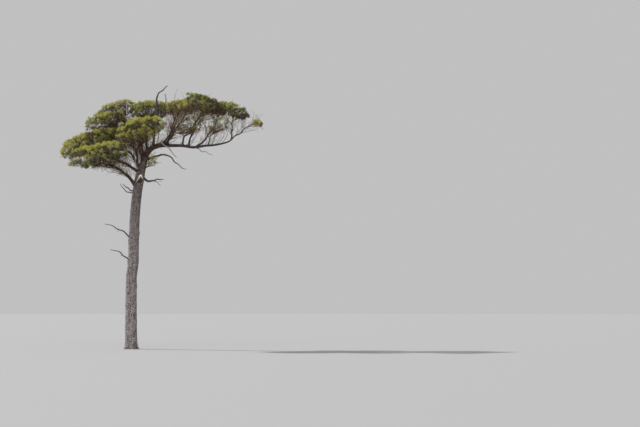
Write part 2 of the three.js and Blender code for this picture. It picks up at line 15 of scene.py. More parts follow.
import bpy
import numpy as np
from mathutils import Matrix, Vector

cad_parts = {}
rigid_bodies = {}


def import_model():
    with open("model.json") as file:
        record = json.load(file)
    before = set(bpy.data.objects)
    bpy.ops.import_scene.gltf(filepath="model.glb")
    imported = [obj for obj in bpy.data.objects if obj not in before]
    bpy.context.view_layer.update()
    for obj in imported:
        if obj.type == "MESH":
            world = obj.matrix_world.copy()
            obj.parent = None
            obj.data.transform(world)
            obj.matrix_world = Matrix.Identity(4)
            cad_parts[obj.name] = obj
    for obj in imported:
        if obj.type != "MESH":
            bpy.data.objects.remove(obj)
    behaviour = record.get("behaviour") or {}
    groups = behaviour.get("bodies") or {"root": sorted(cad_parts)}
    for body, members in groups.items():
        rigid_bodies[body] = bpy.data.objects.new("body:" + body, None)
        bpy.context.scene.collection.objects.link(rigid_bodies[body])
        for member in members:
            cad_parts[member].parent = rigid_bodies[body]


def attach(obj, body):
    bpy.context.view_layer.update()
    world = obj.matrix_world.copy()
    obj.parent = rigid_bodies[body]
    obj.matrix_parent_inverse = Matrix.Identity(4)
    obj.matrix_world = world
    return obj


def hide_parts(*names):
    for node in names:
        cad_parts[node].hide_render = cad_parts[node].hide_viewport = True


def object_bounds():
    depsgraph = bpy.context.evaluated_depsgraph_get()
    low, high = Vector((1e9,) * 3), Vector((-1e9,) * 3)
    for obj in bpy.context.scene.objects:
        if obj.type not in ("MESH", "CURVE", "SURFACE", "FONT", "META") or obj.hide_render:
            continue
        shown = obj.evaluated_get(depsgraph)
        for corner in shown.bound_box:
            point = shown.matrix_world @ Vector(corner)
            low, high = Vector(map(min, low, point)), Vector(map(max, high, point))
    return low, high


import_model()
CAD_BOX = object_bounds()

log = logging.getLogger("scots_pine")

TAU = 2 * math.pi
GOLDEN_TURN = math.pi * (3 - math.sqrt(5))
UP = Vector((0, 0, 1))
SEAT_GAP = 0.0004
NEARLY_UPRIGHT = 1e-6

Colour = tuple[float, float, float]
Pair = tuple[float, float]
Spot = tuple[float, float, float]


def srgb(red: int, green: int, blue: int) -> Colour:
    """A screen colour as the linear numbers that Blender mixes.

    Args:
        red: Red, from 0 to 255.
        green: Green, from 0 to 255.
        blue: Blue, from 0 to 255.

    Returns:
        The three linear numbers, from 0 to 1.
    """
    offset, power = 0.055, 2.4
    return tuple(((c / 255 + offset) / (1 + offset)) ** power for c in (red, green, blue))


class Dice:
    """Random numbers from 0 to 1 that are the same on every run, and the same as in the part's source."""

    MASK = 0xFFFFFFFF
    STRIDE = 0x6D2B79F5

    def __init__(self, seed: int) -> None:
        """Starts the row of numbers that belongs to the seed."""
        self.state = seed & self.MASK

    def roll(self) -> float:
        """The next number.

        Returns:
            A number from 0 to 1.
        """
        self.state = (self.state + self.STRIDE) & self.MASK
        t = self.state
        t = ((t ^ (t >> 15)) * (t | 1)) & self.MASK
        t ^= (t + (t ^ (t >> 7)) * (t | 61)) & self.MASK
        return (t ^ (t >> 14)) / 2**32

    def between(self, low: float, high: float) -> float:
        """The next number, from low to high."""
        return low + (high - low) * self.roll()


# What the source's rule grows


@dataclass(frozen=True)
class LimbPlan:
    """A limb that grows on another at a share of its length, or carries on from its tip."""

    parent: str
    arrives: Pair
    tip: Spot
    radii: Pair
    at: float = 1.0
    leaves: Pair | None = None

    @property
    def follows(self) -> bool:
        """Whether the limb carries on from its parent's tip."""
        return self.leaves is None


@dataclass(frozen=True)
class PadPlan:
    """The space of one pad of needles: reach sideways, rise above and hang below its centre, sheared.

    A loose pad is open, the skirt is the share of the underside that carries tufts, the glow shifts the
    painted light and shade of its tints, and a thick pad has more tufts.
    """

    bough: str
    centre: Spot
    reach: Pair
    rise: float
    hang: float
    slope: float
    seed: int
    loose: float = 1.0
    skirt: float = 0.85
    glow: float = 0.0
    thick: float = 1.0

    PILLOW = 2.6

    def depth(self, points: np.ndarray) -> np.ndarray:
        """How far out in the pad's space points lie.

        Args:
            points: One place a row.

        Returns:
            For each point 0 at the centre and 1 on the surface, which is a pillow's.
        """
        x, y, z = (points - np.array(self.centre)).T
        z = z - self.slope * x
        level = np.hypot(x / self.reach[0], y / self.reach[1])
        upright = np.abs(z) / np.where(z > 0, self.rise, self.hang)
        return (level**self.PILLOW + upright**self.PILLOW) ** (1 / self.PILLOW)

    def room(self, points: np.ndarray) -> tuple[np.ndarray, np.ndarray]:
        """How far inside the surface of the pad's space points lie, and which way is out.

        Args:
            points: One place a row.

        Returns:
            The distances in metres, and the unit vectors towards the surface.
        """
        step = 0.01
        depth = self.depth(points)
        rise = np.stack([(self.depth(points + move) - depth) / step for move in step * np.eye(3)], axis=1)
        steepness = np.linalg.norm(rise, axis=1)
        return (1 - depth) / steepness, rise / steepness[:, None]

    @property
    def area(self) -> float:
        """The pad's level area."""
        return math.pi * self.reach[0] * self.reach[1]


BOUGHS = {
    "long_limb_root": LimbPlan("trunk", (0, -2), (2.0, 0.06, 12.71), (0.188, 0.138)),
    "long_limb_middle": LimbPlan("long_limb_root", (5, 15), (5.75, 0.24, 12.88), (0.108, 0.054)),
    "long_limb_end": LimbPlan("long_limb_middle", (0, 16), (7.54, 0.3, 14.04), (0.051, 0.024)),
    "right_bough_first": LimbPlan(
        "long_limb_root", (-20, 76), (2.9, -0.5, 14.5), (0.068, 0.032), 0.9, (-25, 16)),
    "right_bough_second": LimbPlan(
        "long_limb_middle", (-20, 64), (4.25, -0.55, 14.6), (0.062, 0.032), 0.4, (-60, 78)),
    "right_bough_third": LimbPlan(
        "long_limb_middle", (50, 66), (5.38, 0.7, 14.4), (0.06, 0.03), 0.53, (28, 34)),
    "right_bough_fourth": LimbPlan(
        "long_limb_end", (0, 64), (6.33, 0.26, 14.33), (0.038, 0.022), 0.22, (30, 74)),
    "front_right_bough": LimbPlan(
        "long_limb_root", (-50, 56), (3.25, -1.65, 14.5), (0.07, 0.034), 0.97, (-80, 34)),
    "back_right_bough": LimbPlan(
        "long_limb_middle", (70, 56), (2.75, 2.0, 14.85), (0.07, 0.036), 0.05, (85, 38)),
    "far_back_bough": LimbPlan("long_limb_middle", (60, 58), (4.3, 1.9, 14.8), (0.056, 0.03), 0.3, (95, 40)),
    "under_bough_inner": LimbPlan(
        "right_bough_first", (-20, 40), (3.2, -0.3, 13.5), (0.036, 0.02), 0.5, (-50, 24)),
    "under_bough_outer": LimbPlan(
        "long_limb_middle", (-20, 50), (5.0, -0.26, 13.4), (0.038, 0.02), 0.74, (-70, 52)),
    "left_low_bough": LimbPlan("trunk", (205, 10), (-1.38, -0.9, 11.33), (0.112, 0.054), 0.836, (192, 48)),
    "left_middle_bough": LimbPlan("trunk", (176, 32), (-1.3, 0.2, 12.22), (0.09, 0.046), 0.915, (182, 27)),
    "left_upright": LimbPlan("trunk", (165, 66), (-0.33, 0.95, 14.23), (0.094, 0.048), 0.9, (115, 70)),
    "left_high_bough": LimbPlan(
        "left_upright", (185, 36), (-0.8, 0.38, 13.85), (0.056, 0.032), 0.42, (200, 42)),
    "front_bough": LimbPlan("trunk", (262, 46), (0.42, -0.95, 12.9), (0.074, 0.04), 0.965, (236, 58)),
    "top_bough": LimbPlan("long_limb_root", (100, 74), (0.86, 0.82, 14.45), (0.078, 0.04), 0.2, (118, 66)),
    "back_left_bough": LimbPlan("trunk", (120, 34), (-0.56, 1.98, 12.9), (0.082, 0.042), 0.93, (125, 46)),
    "back_bough": LimbPlan("trunk", (90, 36), (0.56, 2.15, 13.52), (0.082, 0.042), 0.955, (82, 52)),
    "sprig_bough": LimbPlan("trunk", (-20, 48), (1.06, -0.27, 11.42), (0.032, 0.018), 0.918, (-45, 30)),
}

DEAD_LIMBS = {
    "dead_leader": LimbPlan("long_limb_root", (160, 88), (1.53, 0.15, 15.55), (0.08, 0.06), 0.52, (70, 80)),
    "dead_leader_top": LimbPlan("dead_leader", (5, 48), (2.2, 0.14, 16.46), (0.058, 0.024)),
    "dead_leader_fork": LimbPlan(
        "dead_leader", (170, 80), (2.06, 0.06, 15.94), (0.05, 0.018), 0.52, (-10, 42)),
    "grey_snag": LimbPlan("left_high_bough", (0, 82), (-0.3, -0.28, 15.32), (0.046, 0.02), 0.5, (-60, 62)),
    "dead_bough": LimbPlan("trunk", (-12, -14), (2.13, -0.33, 12.06), (0.074, 0.052), 0.985, (-14, -1)),
    "dead_bough_end": LimbPlan("dead_bough", (-4, -8), (3.38, -0.48, 11.17), (0.05, 0.016)),
    "dead_hanger": LimbPlan("long_limb_root", (0, -42), (2.8, -0.78, 11.88), (0.056, 0.02), 0.8, (-80, 50)),
    "dead_twig": LimbPlan("long_limb_middle", (0, -18), (5.04, -0.26, 12.08), (0.026, 0.01), 0.5, (-30, -22)),
    "sprig_twig": LimbPlan("sprig_bough", (0, 4), (1.86, -0.42, 11.6), (0.014, 0.008), 0.7, (-20, 10)),
    "dead_elbow": LimbPlan("trunk", (-5, 10), (1.15, -0.17, 10.44), (0.09, 0.064), 0.91, (-20, -52)),
    "dead_elbow_arm": LimbPlan("dead_elbow", (0, -14), (2.01, -0.17, 10.53), (0.06, 0.018)),
    "dead_elbow_fork": LimbPlan(
        "dead_elbow_arm", (0, -62), (1.81, -0.34, 10.12), (0.026, 0.01), 0.25, (-40, -24)),
    "dead_stub_front": LimbPlan("trunk", (180, 44), (-0.55, -0.16, 10.25), (0.05, 0.018), 0.813, (190, 14)),
    "dead_stub_back": LimbPlan("trunk", (150, 74), (-0.7, 0.19, 10.31), (0.044, 0.014), 0.797, (165, 22)),
    "dead_branch_upper": LimbPlan("trunk", (184, 8), (-1.67, -0.24, 7.76), (0.058, 0.014), 0.562, (186, 40)),
    "dead_branch_lower": LimbPlan("trunk", (184, 6), (-1.3, -0.19, 6.16), (0.06, 0.016), 0.428, (186, 62)),
}

PADS = {
    "pad_left_low": PadPlan(
        "left_low_bough", (-1.96, -1.8, 11.9), (2.02, 1.62), 0.8, 0.72, 0.16, 11, skirt=1.0, glow=0.4,
        thick=1.12),
    "pad_left": PadPlan(
        "left_middle_bough", (-2.7, 0.4, 12.86), (1.88, 1.48), 0.8, 0.62, 0.36, 12, glow=0.65, thick=1.25),
    "pad_left_high": PadPlan(
        "left_high_bough", (-1.68, 0.42, 14.24), (1.38, 1.15), 0.58, 0.6, 0.22, 13, thick=1.1),
    "pad_upper_left": PadPlan("left_upright", (-1.0, 1.7, 15.0), (1.34, 1.35), 0.64, 0.66, 0.24, 14),
    "pad_top": PadPlan(
        "top_bough", (1.02, 1.25, 15.04), (1.38, 1.35), 0.59, 0.64, 0.0, 15, glow=-0.2, thick=1.2),
    "pad_front": PadPlan(
        "front_bough", (0.54, -1.75, 13.52), (1.6, 1.48), 0.8, 0.72, 0.16, 16, skirt=0.4, glow=1.25),
    "pad_right_inner": PadPlan(
        "right_bough_first", (2.86, -0.5, 15.08), (1.12, 0.98), 0.42, 0.4, 0.1, 17, skirt=0.3),
    "pad_right_top": PadPlan(
        "right_bough_second", (4.52, -0.48, 15.18), (1.34, 1.2), 0.66, 0.44, -0.24, 18, skirt=0.45,
        glow=-0.95, thick=1.2),
    "pad_right_middle": PadPlan(
        "right_bough_third", (5.46, 0.96, 15.12), (1.12, 1.05), 0.5, 0.4, -0.1, 19, skirt=0.45, glow=-0.9,
        thick=1.2),
    "pad_right_outer": PadPlan(
        "right_bough_fourth", (6.44, 0.04, 14.84), (0.96, 1.0), 0.54, 0.44, -0.32, 20, glow=-0.45,
        thick=1.15),
    "pad_tip": PadPlan(
        "long_limb_end", (7.9, 0.32, 14.12), (0.42, 0.36), 0.24, 0.2, 0.0, 21, glow=1.0, thick=1.5),
    "pad_under_inner": PadPlan(
        "under_bough_inner", (3.65, -0.52, 13.95), (1.2, 0.95), 0.5, 0.54, 0.1, 22,
        loose=0.6, skirt=0.3, glow=0.3, thick=1.25),
    "pad_under_outer": PadPlan(
        "under_bough_outer", (5.38, -0.42, 13.98), (0.96, 0.85), 0.48, 0.48, 0.1, 23,
        loose=0.6, skirt=0.3, glow=0.3, thick=1.25),
    "pad_sprig": PadPlan(
        "sprig_bough", (1.27, -0.32, 11.64), (0.38, 0.33), 0.29, 0.24, 0.0, 24, glow=1.3, thick=1.1),
    "pad_front_right": PadPlan(
        "front_right_bough", (3.9, -2.35, 14.84), (1.25, 1.06), 0.46, 0.4, 0.0, 25, skirt=0.5, glow=-0.3),
    "pad_back_right": PadPlan("back_right_bough", (2.96, 2.76, 15.32), (1.5, 1.3), 0.5, 0.38, 0.12, 26),
    "pad_far_back": PadPlan("far_back_bough", (4.95, 2.72, 15.27), (1.2, 1.15), 0.48, 0.38, -0.1, 27),
    "pad_back_left": PadPlan("back_left_bough", (-1.3, 3.0, 13.48), (1.56, 1.5), 0.72, 0.56, 0.1, 28),
    "pad_back": PadPlan("back_bough", (0.7, 3.3, 14.18), (1.5, 1.45), 0.64, 0.52, 0.05, 29),
}


def heading_of(bearing: float, climb: float) -> Vector:
    """The unit vector of a bearing and a climb in degrees."""
    b, c = math.radians(bearing), math.radians(climb)
    return Vector((math.cos(b) * math.cos(c), math.sin(b) * math.cos(c), math.sin(c)))


def smoothstep(value: float) -> float:
    """Eases a value from 0 to 1, and holds it there outside that range."""
    value = min(max(value, 0.0), 1.0)
    return value * value * (3 - 2 * value)


def side_of(direction: Vector) -> Vector:
    """A unit vector square to another, level where that is possible."""
    side = Vector((-direction.y, direction.x, 0))
    return side.normalized() if side.length_squared > NEARLY_UPRIGHT else Vector((1, 0, 0))


def way_out(ahead: Vector, turn: float) -> Vector:
    """The unit vector square to a direction, at an angle round it."""
    side = side_of(ahead)
    return side * math.cos(turn) + side.cross(ahead) * math.sin(turn)


class Line:
    """A smooth line in space, by shares of its length."""

    STEP = 1e-4

    def at(self, share: float) -> Vector:
        """The place at a share of the line."""
        raise NotImplementedError

    def heading(self, share: float) -> Vector:
        """The direction in which the line runs at a share of it."""
        return (self.at(min(share + self.STEP, 1)) - self.at(max(share - self.STEP, 0))).normalized()


@dataclass(frozen=True)
class TrunkLine(Line):
    """The trunk's axis: upright at the foot, a jog halfway, and leaning to the long limb near its top."""

    height: float = 12.0
    lean: float = 0.74
    lean_power: float = 5.6
    jog: float = 0.12
    jog_foot: float = 4.2
    jog_top: float = 5.7
    sway: float = 0.05

    def at(self, share: float) -> Vector:
        """The place at a share of the trunk's height.

        Args:
            share: The share, from 0 at the ground to 1 at the top.

        Returns:
            The place on the axis.
        """
        sway = self.sway * (1 - math.cos(TAU * share))
        height = self.height * share
        jog = self.jog * smoothstep((height - self.jog_foot) / (self.jog_top - self.jog_foot))
        return Vector((self.lean * share**self.lean_power + jog, sway, height))


class LimbLine(Line):
    """A smooth sweep from a root to a tip, with a crookedness that fades out at both ends."""

    HANDLE = 0.38
    CROOK = 0.055
    CROOK_RADIUS = 0.06

    def __init__(
        self, root: Vector, leaves: Vector, tip: Vector, arrives: Vector, radius: float, seed: int
    ) -> None:
        """Bends the sweep so that it leaves its root and arrives at its tip in the given directions.

        Args:
            root: Where the limb starts.
            leaves: The direction in which it sets off.
            tip: Where it ends.
            arrives: The direction that it has there.
            radius: Its radius at the root. A thin limb is more crooked.
            seed: The seed of its crookedness.
        """
        reach = (tip - root).length
        handle = reach * self.HANDLE
        self.corners = (root, root + leaves * handle, tip - arrives * handle, tip)
        dice = Dice(seed)
        self.phases = (dice.between(0, TAU), dice.between(0, TAU))
        self.crook = reach * self.CROOK / (1 + (radius / self.CROOK_RADIUS) ** 2)
        way = (tip - root).normalized()
        self.side = side_of(way)
        self.rise = way.cross(self.side)

    def at(self, share: float) -> Vector:
        """The place at a share of the limb.

        Args:
            share: The share, from 0 at the root to 1 at the tip.

        Returns:
            The place on the limb's axis.
        """
        s, r = share, 1 - share
        weights = (r**3, 3 * r * r * s, 3 * r * s * s, s**3)
        place = sum((corner * w for corner, w in zip(self.corners, weights)), Vector())
        fade = self.crook * math.sin(math.pi * s) ** 2
        place += self.side * (fade * math.sin(TAU * s + self.phases[0]))
        return place + self.rise * (fade * math.sin(2 * TAU * s + self.phases[1]))


class Bend(Line):
    """A single soft bend from a root to a tip."""

    def __init__(self, root: Vector, bend: Vector, tip: Vector) -> None:
        """Keeps the three points of the bend."""
        self.root, self.bend, self.tip = root, bend, tip

    def at(self, share: float) -> Vector:
        """The place at a share of the bend."""
        r = 1 - share
        return self.root * (r * r) + self.bend * (2 * r * share) + self.tip * (share * share)


@dataclass
class Limb:
    """A limb's axis and its radius from root to tip, with the place where its bark pattern starts."""

    line: Line
    radii: Pair
    bark_start: float
    side: Vector | None = None

    def radius(self, share: float, _: object = None) -> float:
        """The radius at a share of the length, the same all round."""
        return self.radii[0] + (self.radii[1] - self.radii[0]) * share

    @property
    def length(self) -> float:
        """The straight length from root to tip."""
        return (self.line.at(1) - self.line.at(0)).length


def grow_limbs(trunk: "Trunk") -> dict[str, Limb]:
    """Grows all limbs from the trunk on, as the source does.

    Args:
        trunk: The trunk, which the first limbs grow on.

    Returns:
        Each limb by its node's name, the trunk too.
    """
    limbs = {"trunk": Limb(trunk.line, (trunk.foot_radius, trunk.top_radius), 0.0)}
    carried = {pad.bough: pad for pad in PADS.values()}
    first_seeds = ((BOUGHS, 100), (DEAD_LIMBS, 200))
    bark_shift = 3.7
    for plans, first_seed in first_seeds:
        for order, (name, plan) in enumerate(plans.items()):
            parent = limbs[plan.parent]
            leaves = parent.line.heading(1) if plan.follows else heading_of(*plan.leaves)
            tip = Vector(plan.tip)
            if name in carried:
                tip = entry_of(carried[name], tip)
            root = parent.line.at(plan.at)
            line = LimbLine(root, leaves, tip, heading_of(*plan.arrives), plan.radii[0], first_seed + order)
            start = parent.bark_start + trunk.line.height if plan.follows else bark_shift * order
            limbs[name] = Limb(line, plan.radii, start)
    return limbs


def entry_of(pad: PadPlan, outside: Vector) -> Vector:
    """The point where a line from outside towards a pad's centre enters its space.

    Args:
        pad: The pad.
        outside: The place outside it.

    Returns:
        The point, a little inside the surface.
    """
    entry = 0.94
    depth = float(pad.depth(np.array([outside]))[0])
    return Vector(pad.centre).lerp(outside, entry / depth)


def add_object(name: str, places: list, edges: list, faces: list, **stored: list) -> bpy.types.Object:
    """Adds an object to the scene, with its place in its mesh.

    Args:
        name: The name of the object and of its mesh.
        places: The points.
        edges: Pairs of numbers of points.
        faces: Rows of numbers of points.
        stored: A number or a vector for each point, by the attribute's name.

    Returns:
        The object.
    """
    mesh = bpy.data.meshes.new(name)
    mesh.from_pydata(places, edges, faces)
    for title, given in stored.items():
        values = np.array(given)
        kind, key = ("FLOAT_VECTOR", "vector") if values.ndim == 2 else ("FLOAT", "value")
        mesh.attributes.new(title, kind, "POINT").data.foreach_set(key, values.ravel())
    made = bpy.data.objects.new(name, mesh)
    bpy.context.scene.collection.objects.link(made)
    return made


# Node trees


class Value:
    """A socket that gives a value. Arithmetic on it adds Math nodes to its tree."""

    def __init__(self, graph: "Graph", socket: bpy.types.NodeSocket) -> None:
        """Wraps an output socket of the graph."""
        self.graph, self.socket = graph, socket

    def __add__(self, other: "Value | float") -> "Value":
        """The sum."""
        return self.graph.maths("ADD", self, other)

    __radd__ = __add__

    def __sub__(self, other: "Value | float") -> "Value":
        """The difference."""
        return self.graph.maths("SUBTRACT", self, other)

    def __rsub__(self, other: float) -> "Value":
        """The difference from a plain number."""
        return self.graph.maths("SUBTRACT", other, self)

    def __mul__(self, other: "Value | float") -> "Value":
        """The product."""
        return self.graph.maths("MULTIPLY", self, other)

    __rmul__ = __mul__

    def __truediv__(self, other: "Value | float") -> "Value":
        """The quotient."""
        return self.graph.maths("DIVIDE", self, other)


class Graph:
    """A node tree that is written as calls and expressions."""

    def __init__(self, tree: bpy.types.NodeTree) -> None:
        """Wraps a node tree."""
        self.tree = tree

    def node(self, kind: str, sockets: dict | None = None, **settings: object) -> bpy.types.Node:
        """Adds one node.

        Args:
            kind: The node's type.
            sockets: A value or link for its inputs, by identifier or name.
            settings: Its properties by name, which are set first.

        Returns:
            The node.
        """
        made = self.tree.nodes.new(kind)
        for name, setting in settings.items():
            setattr(made, name, setting)
        for name, given in (sockets or {}).items():
            self.feed(next(s for s in made.inputs if name in (s.identifier, s.name) and s.enabled), given)
        return made

    def feed(self, socket: bpy.types.NodeSocket, given: object) -> None:
        """Links a value to a socket, or sets the socket.

        Args:
            socket: The input socket.
            given: A value of this graph, or a plain number, colour or other setting.
        """
        if isinstance(given, Value):
            self.tree.links.new(given.socket, socket)
        else:
            socket.default_value = (*given, 1) if socket.type == "RGBA" else given

    def out(self, node: bpy.types.Node, name: str = "") -> Value:
        """One output of a node by identifier or name, or its first one that is in use."""
        found = (s for s in node.outputs if s.enabled and (not name or name in (s.identifier, s.name)))
        return Value(self, next(found))

    def value(self, kind: str, sockets: dict | None = None, output: str = "", **settings: object) -> Value:
        """Adds one node and gives one of its outputs, or its first one that is in use."""
        return self.out(self.node(kind, sockets, **settings), output)

    def _calculated(self, made: bpy.types.Node, values: tuple) -> Value:
        """Feeds the inputs that a node has in use, in their order.

        Args:
            made: The node.
            values: A value or a plain number for each input.

        Returns:
            The node's result.
        """
        for socket, given in zip([s for s in made.inputs if s.enabled], values):
            self.feed(socket, given)
        return self.out(made)

    def maths(self, operation: str, *values: "Value | float") -> Value:
        """Adds a Math node."""
        return self._calculated(self.node("ShaderNodeMath", operation=operation), values)

    def vectors(self, operation: str, *values: "Value | Spot") -> Value:
        """Adds a Vector Math node."""
        return self._calculated(self.node("ShaderNodeVectorMath", operation=operation), values)

    def noise(self, place: Value, scale: float, detail: float = 2.0, roughness: float = 0.5) -> Value:
        """A cloudy value round 0.5 at a place."""
        sockets = {"Vector": place, "Scale": scale, "Detail": detail, "Roughness": roughness}
        return self.value("ShaderNodeTexNoise", sockets, "Fac")

    def step(self, value: Value, low: float, high: float) -> Value:
        """A soft step from 0 at low to 1 at high."""
        sockets = {"Value": value, "From Min": low, "From Max": high}
        return self.value("ShaderNodeMapRange", sockets, interpolation_type="SMOOTHSTEP")

    def blend(self, factor: Value, first: "Value | Colour", second: "Value | Colour") -> Value:
        """A colour between two others."""
        sockets = {"Factor_Float": factor, "A_Color": first, "B_Color": second}
        return self.value("ShaderNodeMix", sockets, "Result_Color", data_type="RGBA")


class Rule(Graph):
    """A Geometry Nodes tree with named inputs, which runs once on an object and leaves a plain mesh."""

    def __init__(self, name: str, **inputs: str) -> None:
        """Makes the tree.

        Args:
            name: The tree's name.
            inputs: The socket type of each input after the geometry, by its name with _ for a space.
        """
        super().__init__(bpy.data.node_groups.new(name, "GeometryNodeTree"))
        face = self.tree.interface
        face.new_socket("Geometry", in_out="INPUT", socket_type="NodeSocketGeometry")
        self.keys = {}
        for key, kind in inputs.items():
            title = key.replace("_", " ").title()
            added = face.new_socket(title, in_out="INPUT", socket_type=f"NodeSocket{kind}")
            self.keys[key] = added.identifier
        face.new_socket("Geometry", in_out="OUTPUT", socket_type="NodeSocketGeometry")
        self.start = self.node("NodeGroupInput")
        self.geometry = self.out(self.start, "Geometry")

    def given(self, key: str) -> Value:
        """The value of a named input."""
        return self.out(self.start, self.keys[key])

    def stored(self, name: str, kind: str = "FLOAT") -> Value:
        """An attribute that the mesh brings along."""
        return self.value("GeometryNodeInputNamedAttribute", {"Name": name}, "Attribute", data_type=kind)

    def random(self, low: float, high: float, seed: "Value | int") -> Value:
        """A random number for each point, from low to high."""
        sockets = {"Min_001": low, "Max_001": high, "Seed": seed}
        return self.value("FunctionNodeRandomValue", sockets, "Value_001", data_type="FLOAT")

    def ends(self, geometry: Value) -> None:
        """Sets the material on the geometry and gives it out."""
        sockets = {"Geometry": geometry, "Material": self.given("material")}
        self.node("NodeGroupOutput", {"Geometry": self.value("GeometryNodeSetMaterial", sockets)})

    def run(self, piece: bpy.types.Object, **values: object) -> None:
        """Turns a piece into what the tree makes of it.

        Args:
            piece: The object, whose mesh is replaced.
            values: What each named input is set to.
        """
        modifier = piece.modifiers.new("rule", "NODES")
        modifier.node_group = self.tree
        for key, value in values.items():
            modifier[self.keys[key]] = value
        whole = piece.evaluated_get(bpy.context.evaluated_depsgraph_get())
        mesh = bpy.data.meshes.new_from_object(whole)
        piece.modifiers.remove(modifier)
        bare, piece.data = piece.data, mesh
        mesh.name = piece.name
        bpy.data.meshes.remove(bare)


# Finishes


def principled(name: str, gloss: float) -> tuple[Graph, bpy.types.Node, bpy.types.Material]:
    """A new material with its graph and its main shader.

    Args:
        name: The material's name.
        gloss: The shader's specular level.

    Returns:
        The graph, the shader node and the material.
    """
    material = bpy.data.materials.new(name)
    material.use_nodes = True
    shader = material.node_tree.nodes["Principled BSDF"]
    shader.inputs["Specular IOR Level"].default_value = gloss
    return Graph(material.node_tree), shader, material


@dataclass(frozen=True)
class PlainFinish:
    """One plain colour, for what is dealt out by spray."""

    name: str
    colour: Colour
    roughness: float = 0.6

    GLOSS = 0.3

    def material(self) -> bpy.types.Material:
        """The finish as a material.

        Returns:
            The material.
        """
        _, shader, material = principled(self.name, self.GLOSS)
        shader.inputs["Base Color"].default_value = (*self.colour, 1)
        shader.inputs["Roughness"].default_value = self.roughness
        material.diffuse_color = (*self.colour, 1)
        return material


@dataclass(frozen=True)
class BarkFinish:
    """Bark that follows the relief of its mesh: plates, dark fissures between them, and bare flakes."""

    name: str
    plate: Colour
    worn_plate: Colour
    fissure: Colour
    flake: Colour
    flakes: float
    grain: float
    scar: Spot | None = None

    GLOSS = 0.25
    STRETCH = (1.0, 1.0, 0.45)
    PATCH_SCALE = 7.0
    PATCH_EDGE = (0.38, 0.62)
    FLAKE_SCALE = 34.0
    FLAKE_EDGE = (0.72, 0.82)
    FISSURE_EDGE = (0.1, 0.75)
    CRUMB_SCALE = 90.0
    CRUMBS = 0.4
    FRAYING = 0.35
    ROUGHNESS = 0.95
    SMOOTHER_FLAKES = 0.12
    GRAIN_HEIGHT = 0.01

    def material(self) -> bpy.types.Material:
        """The finish as a material, which reads the attributes that the relief has left on the mesh.

        Returns:
            The material.
        """
        graph, shader, material = principled(self.name, self.GLOSS)
        place = graph.value("ShaderNodeAttribute", None, "Vector", attribute_name="straight")
        raised = graph.value("ShaderNodeAttribute", None, "Fac", attribute_name="plate")
        squat = graph.vectors("MULTIPLY", place, self.STRETCH)
        patches = graph.noise(squat, self.PATCH_SCALE, detail=3.0)
        colour = graph.blend(graph.step(patches, *self.PATCH_EDGE), self.plate, self.worn_plate)
        flaking = graph.noise(squat, self.FLAKE_SCALE, detail=3.0, roughness=0.6)
        bare = graph.step(flaking, *(edge - self.flakes for edge in self.FLAKE_EDGE))
        colour = graph.blend(bare, colour, self.flake)
        depth = graph.step(raised + (flaking - 0.5) * self.FRAYING, *self.FISSURE_EDGE)
        colour = graph.blend(depth, self.fissure, colour)
        # painted shade of the crown, and a patch of bare wood and painted shade round the scar
        if self.scar:
            colour = self._shaded(graph, colour, flaking)
        graph.feed(shader.inputs["Base Color"], colour)
        graph.feed(shader.inputs["Roughness"], self.ROUGHNESS - self.SMOOTHER_FLAKES * bare)
        relief = flaking + graph.noise(place, self.CRUMB_SCALE, roughness=0.6) * self.CRUMBS
        sockets = {"Height": relief, "Strength": self.grain, "Distance": self.GRAIN_HEIGHT}
        graph.feed(shader.inputs["Normal"], graph.value("ShaderNodeBump", sockets))
        return material

    def _shaded(self, graph: Graph, colour: Value, flaking: Value) -> Value:
        """Paints shade: darker bark towards the crown, and dark brown round the scar as bare wood and a
        hollow's shade.

        Args:
            graph: The material's graph.
            colour: The bark's colour.
            flaking: The pattern that frays the wound's edge.

        Returns:
            The darkened colour.
        """
        lit_to, dark_from, dark = 4.0, 11.0, (0.6, 0.56, 0.54)
        wound, wound_edge, fraying = srgb(62, 45, 36), (0.15, 0.25), 0.06
        spot = graph.value("ShaderNodeTexCoord", None, "Object")
        height = graph.value("ShaderNodeSeparateXYZ", {"Vector": spot}, "Z")
        # painted shade: the bark darkens from lit_to up to dark_from under the crown
        dimmed = graph.blend(graph.step(height, lit_to, dark_from), (1.0, 1.0, 1.0), dark)
        # bare wood with the painted shade of a hollow, dark brown round the scar
        far = graph.vectors("LENGTH", graph.vectors("SUBTRACT", spot, self.scar))
        clear = graph.step(far + flaking * fraying, *wound_edge)
        return graph.blend(clear, wound, graph.vectors("MULTIPLY", colour, dimmed))


@dataclass(frozen=True)
class DeadWoodFinish:
    """Bare weathered wood with streaks and cracks along the grain."""

    name: str
    silver: Colour
    brown: Colour
    crack: Colour

    GLOSS = 0.5
    STRETCH = (1.0, 1.0, 0.06)
    STREAK_SCALE = 60.0
    STAIN_SCALE = 3.0
    STAIN_EDGE = (0.42, 0.66)
    STAIN_FRAYING = 0.5
    CRACK_EDGE = (0.3, 0.42)
    ROUGHNESS = 0.85
    GRAIN = 0.6
    GRAIN_HEIGHT = 0.006

    def material(self) -> bpy.types.Material:
        """The finish as a material.

        Returns:
            The material.
        """
        graph, shader, material = principled(self.name, self.GLOSS)
        place = graph.value("ShaderNodeAttribute", None, "Vector", attribute_name="straight")
        drawn = graph.vectors("MULTIPLY", place, self.STRETCH)
        streaks = graph.noise(drawn, self.STREAK_SCALE, detail=3.0, roughness=0.65)
        stains = graph.noise(place, self.STAIN_SCALE) + (streaks - 0.5) * self.STAIN_FRAYING
        colour = graph.blend(graph.step(stains, *self.STAIN_EDGE), self.silver, self.brown)
        colour = graph.blend(graph.step(streaks, *self.CRACK_EDGE), self.crack, colour)
        graph.feed(shader.inputs["Base Color"], colour)
        sockets = {"Height": streaks, "Strength": self.GRAIN, "Distance": self.GRAIN_HEIGHT}
        graph.feed(shader.inputs["Normal"], graph.value("ShaderNodeBump", sockets))
        shader.inputs["Roughness"].default_value = self.ROUGHNESS
        return material


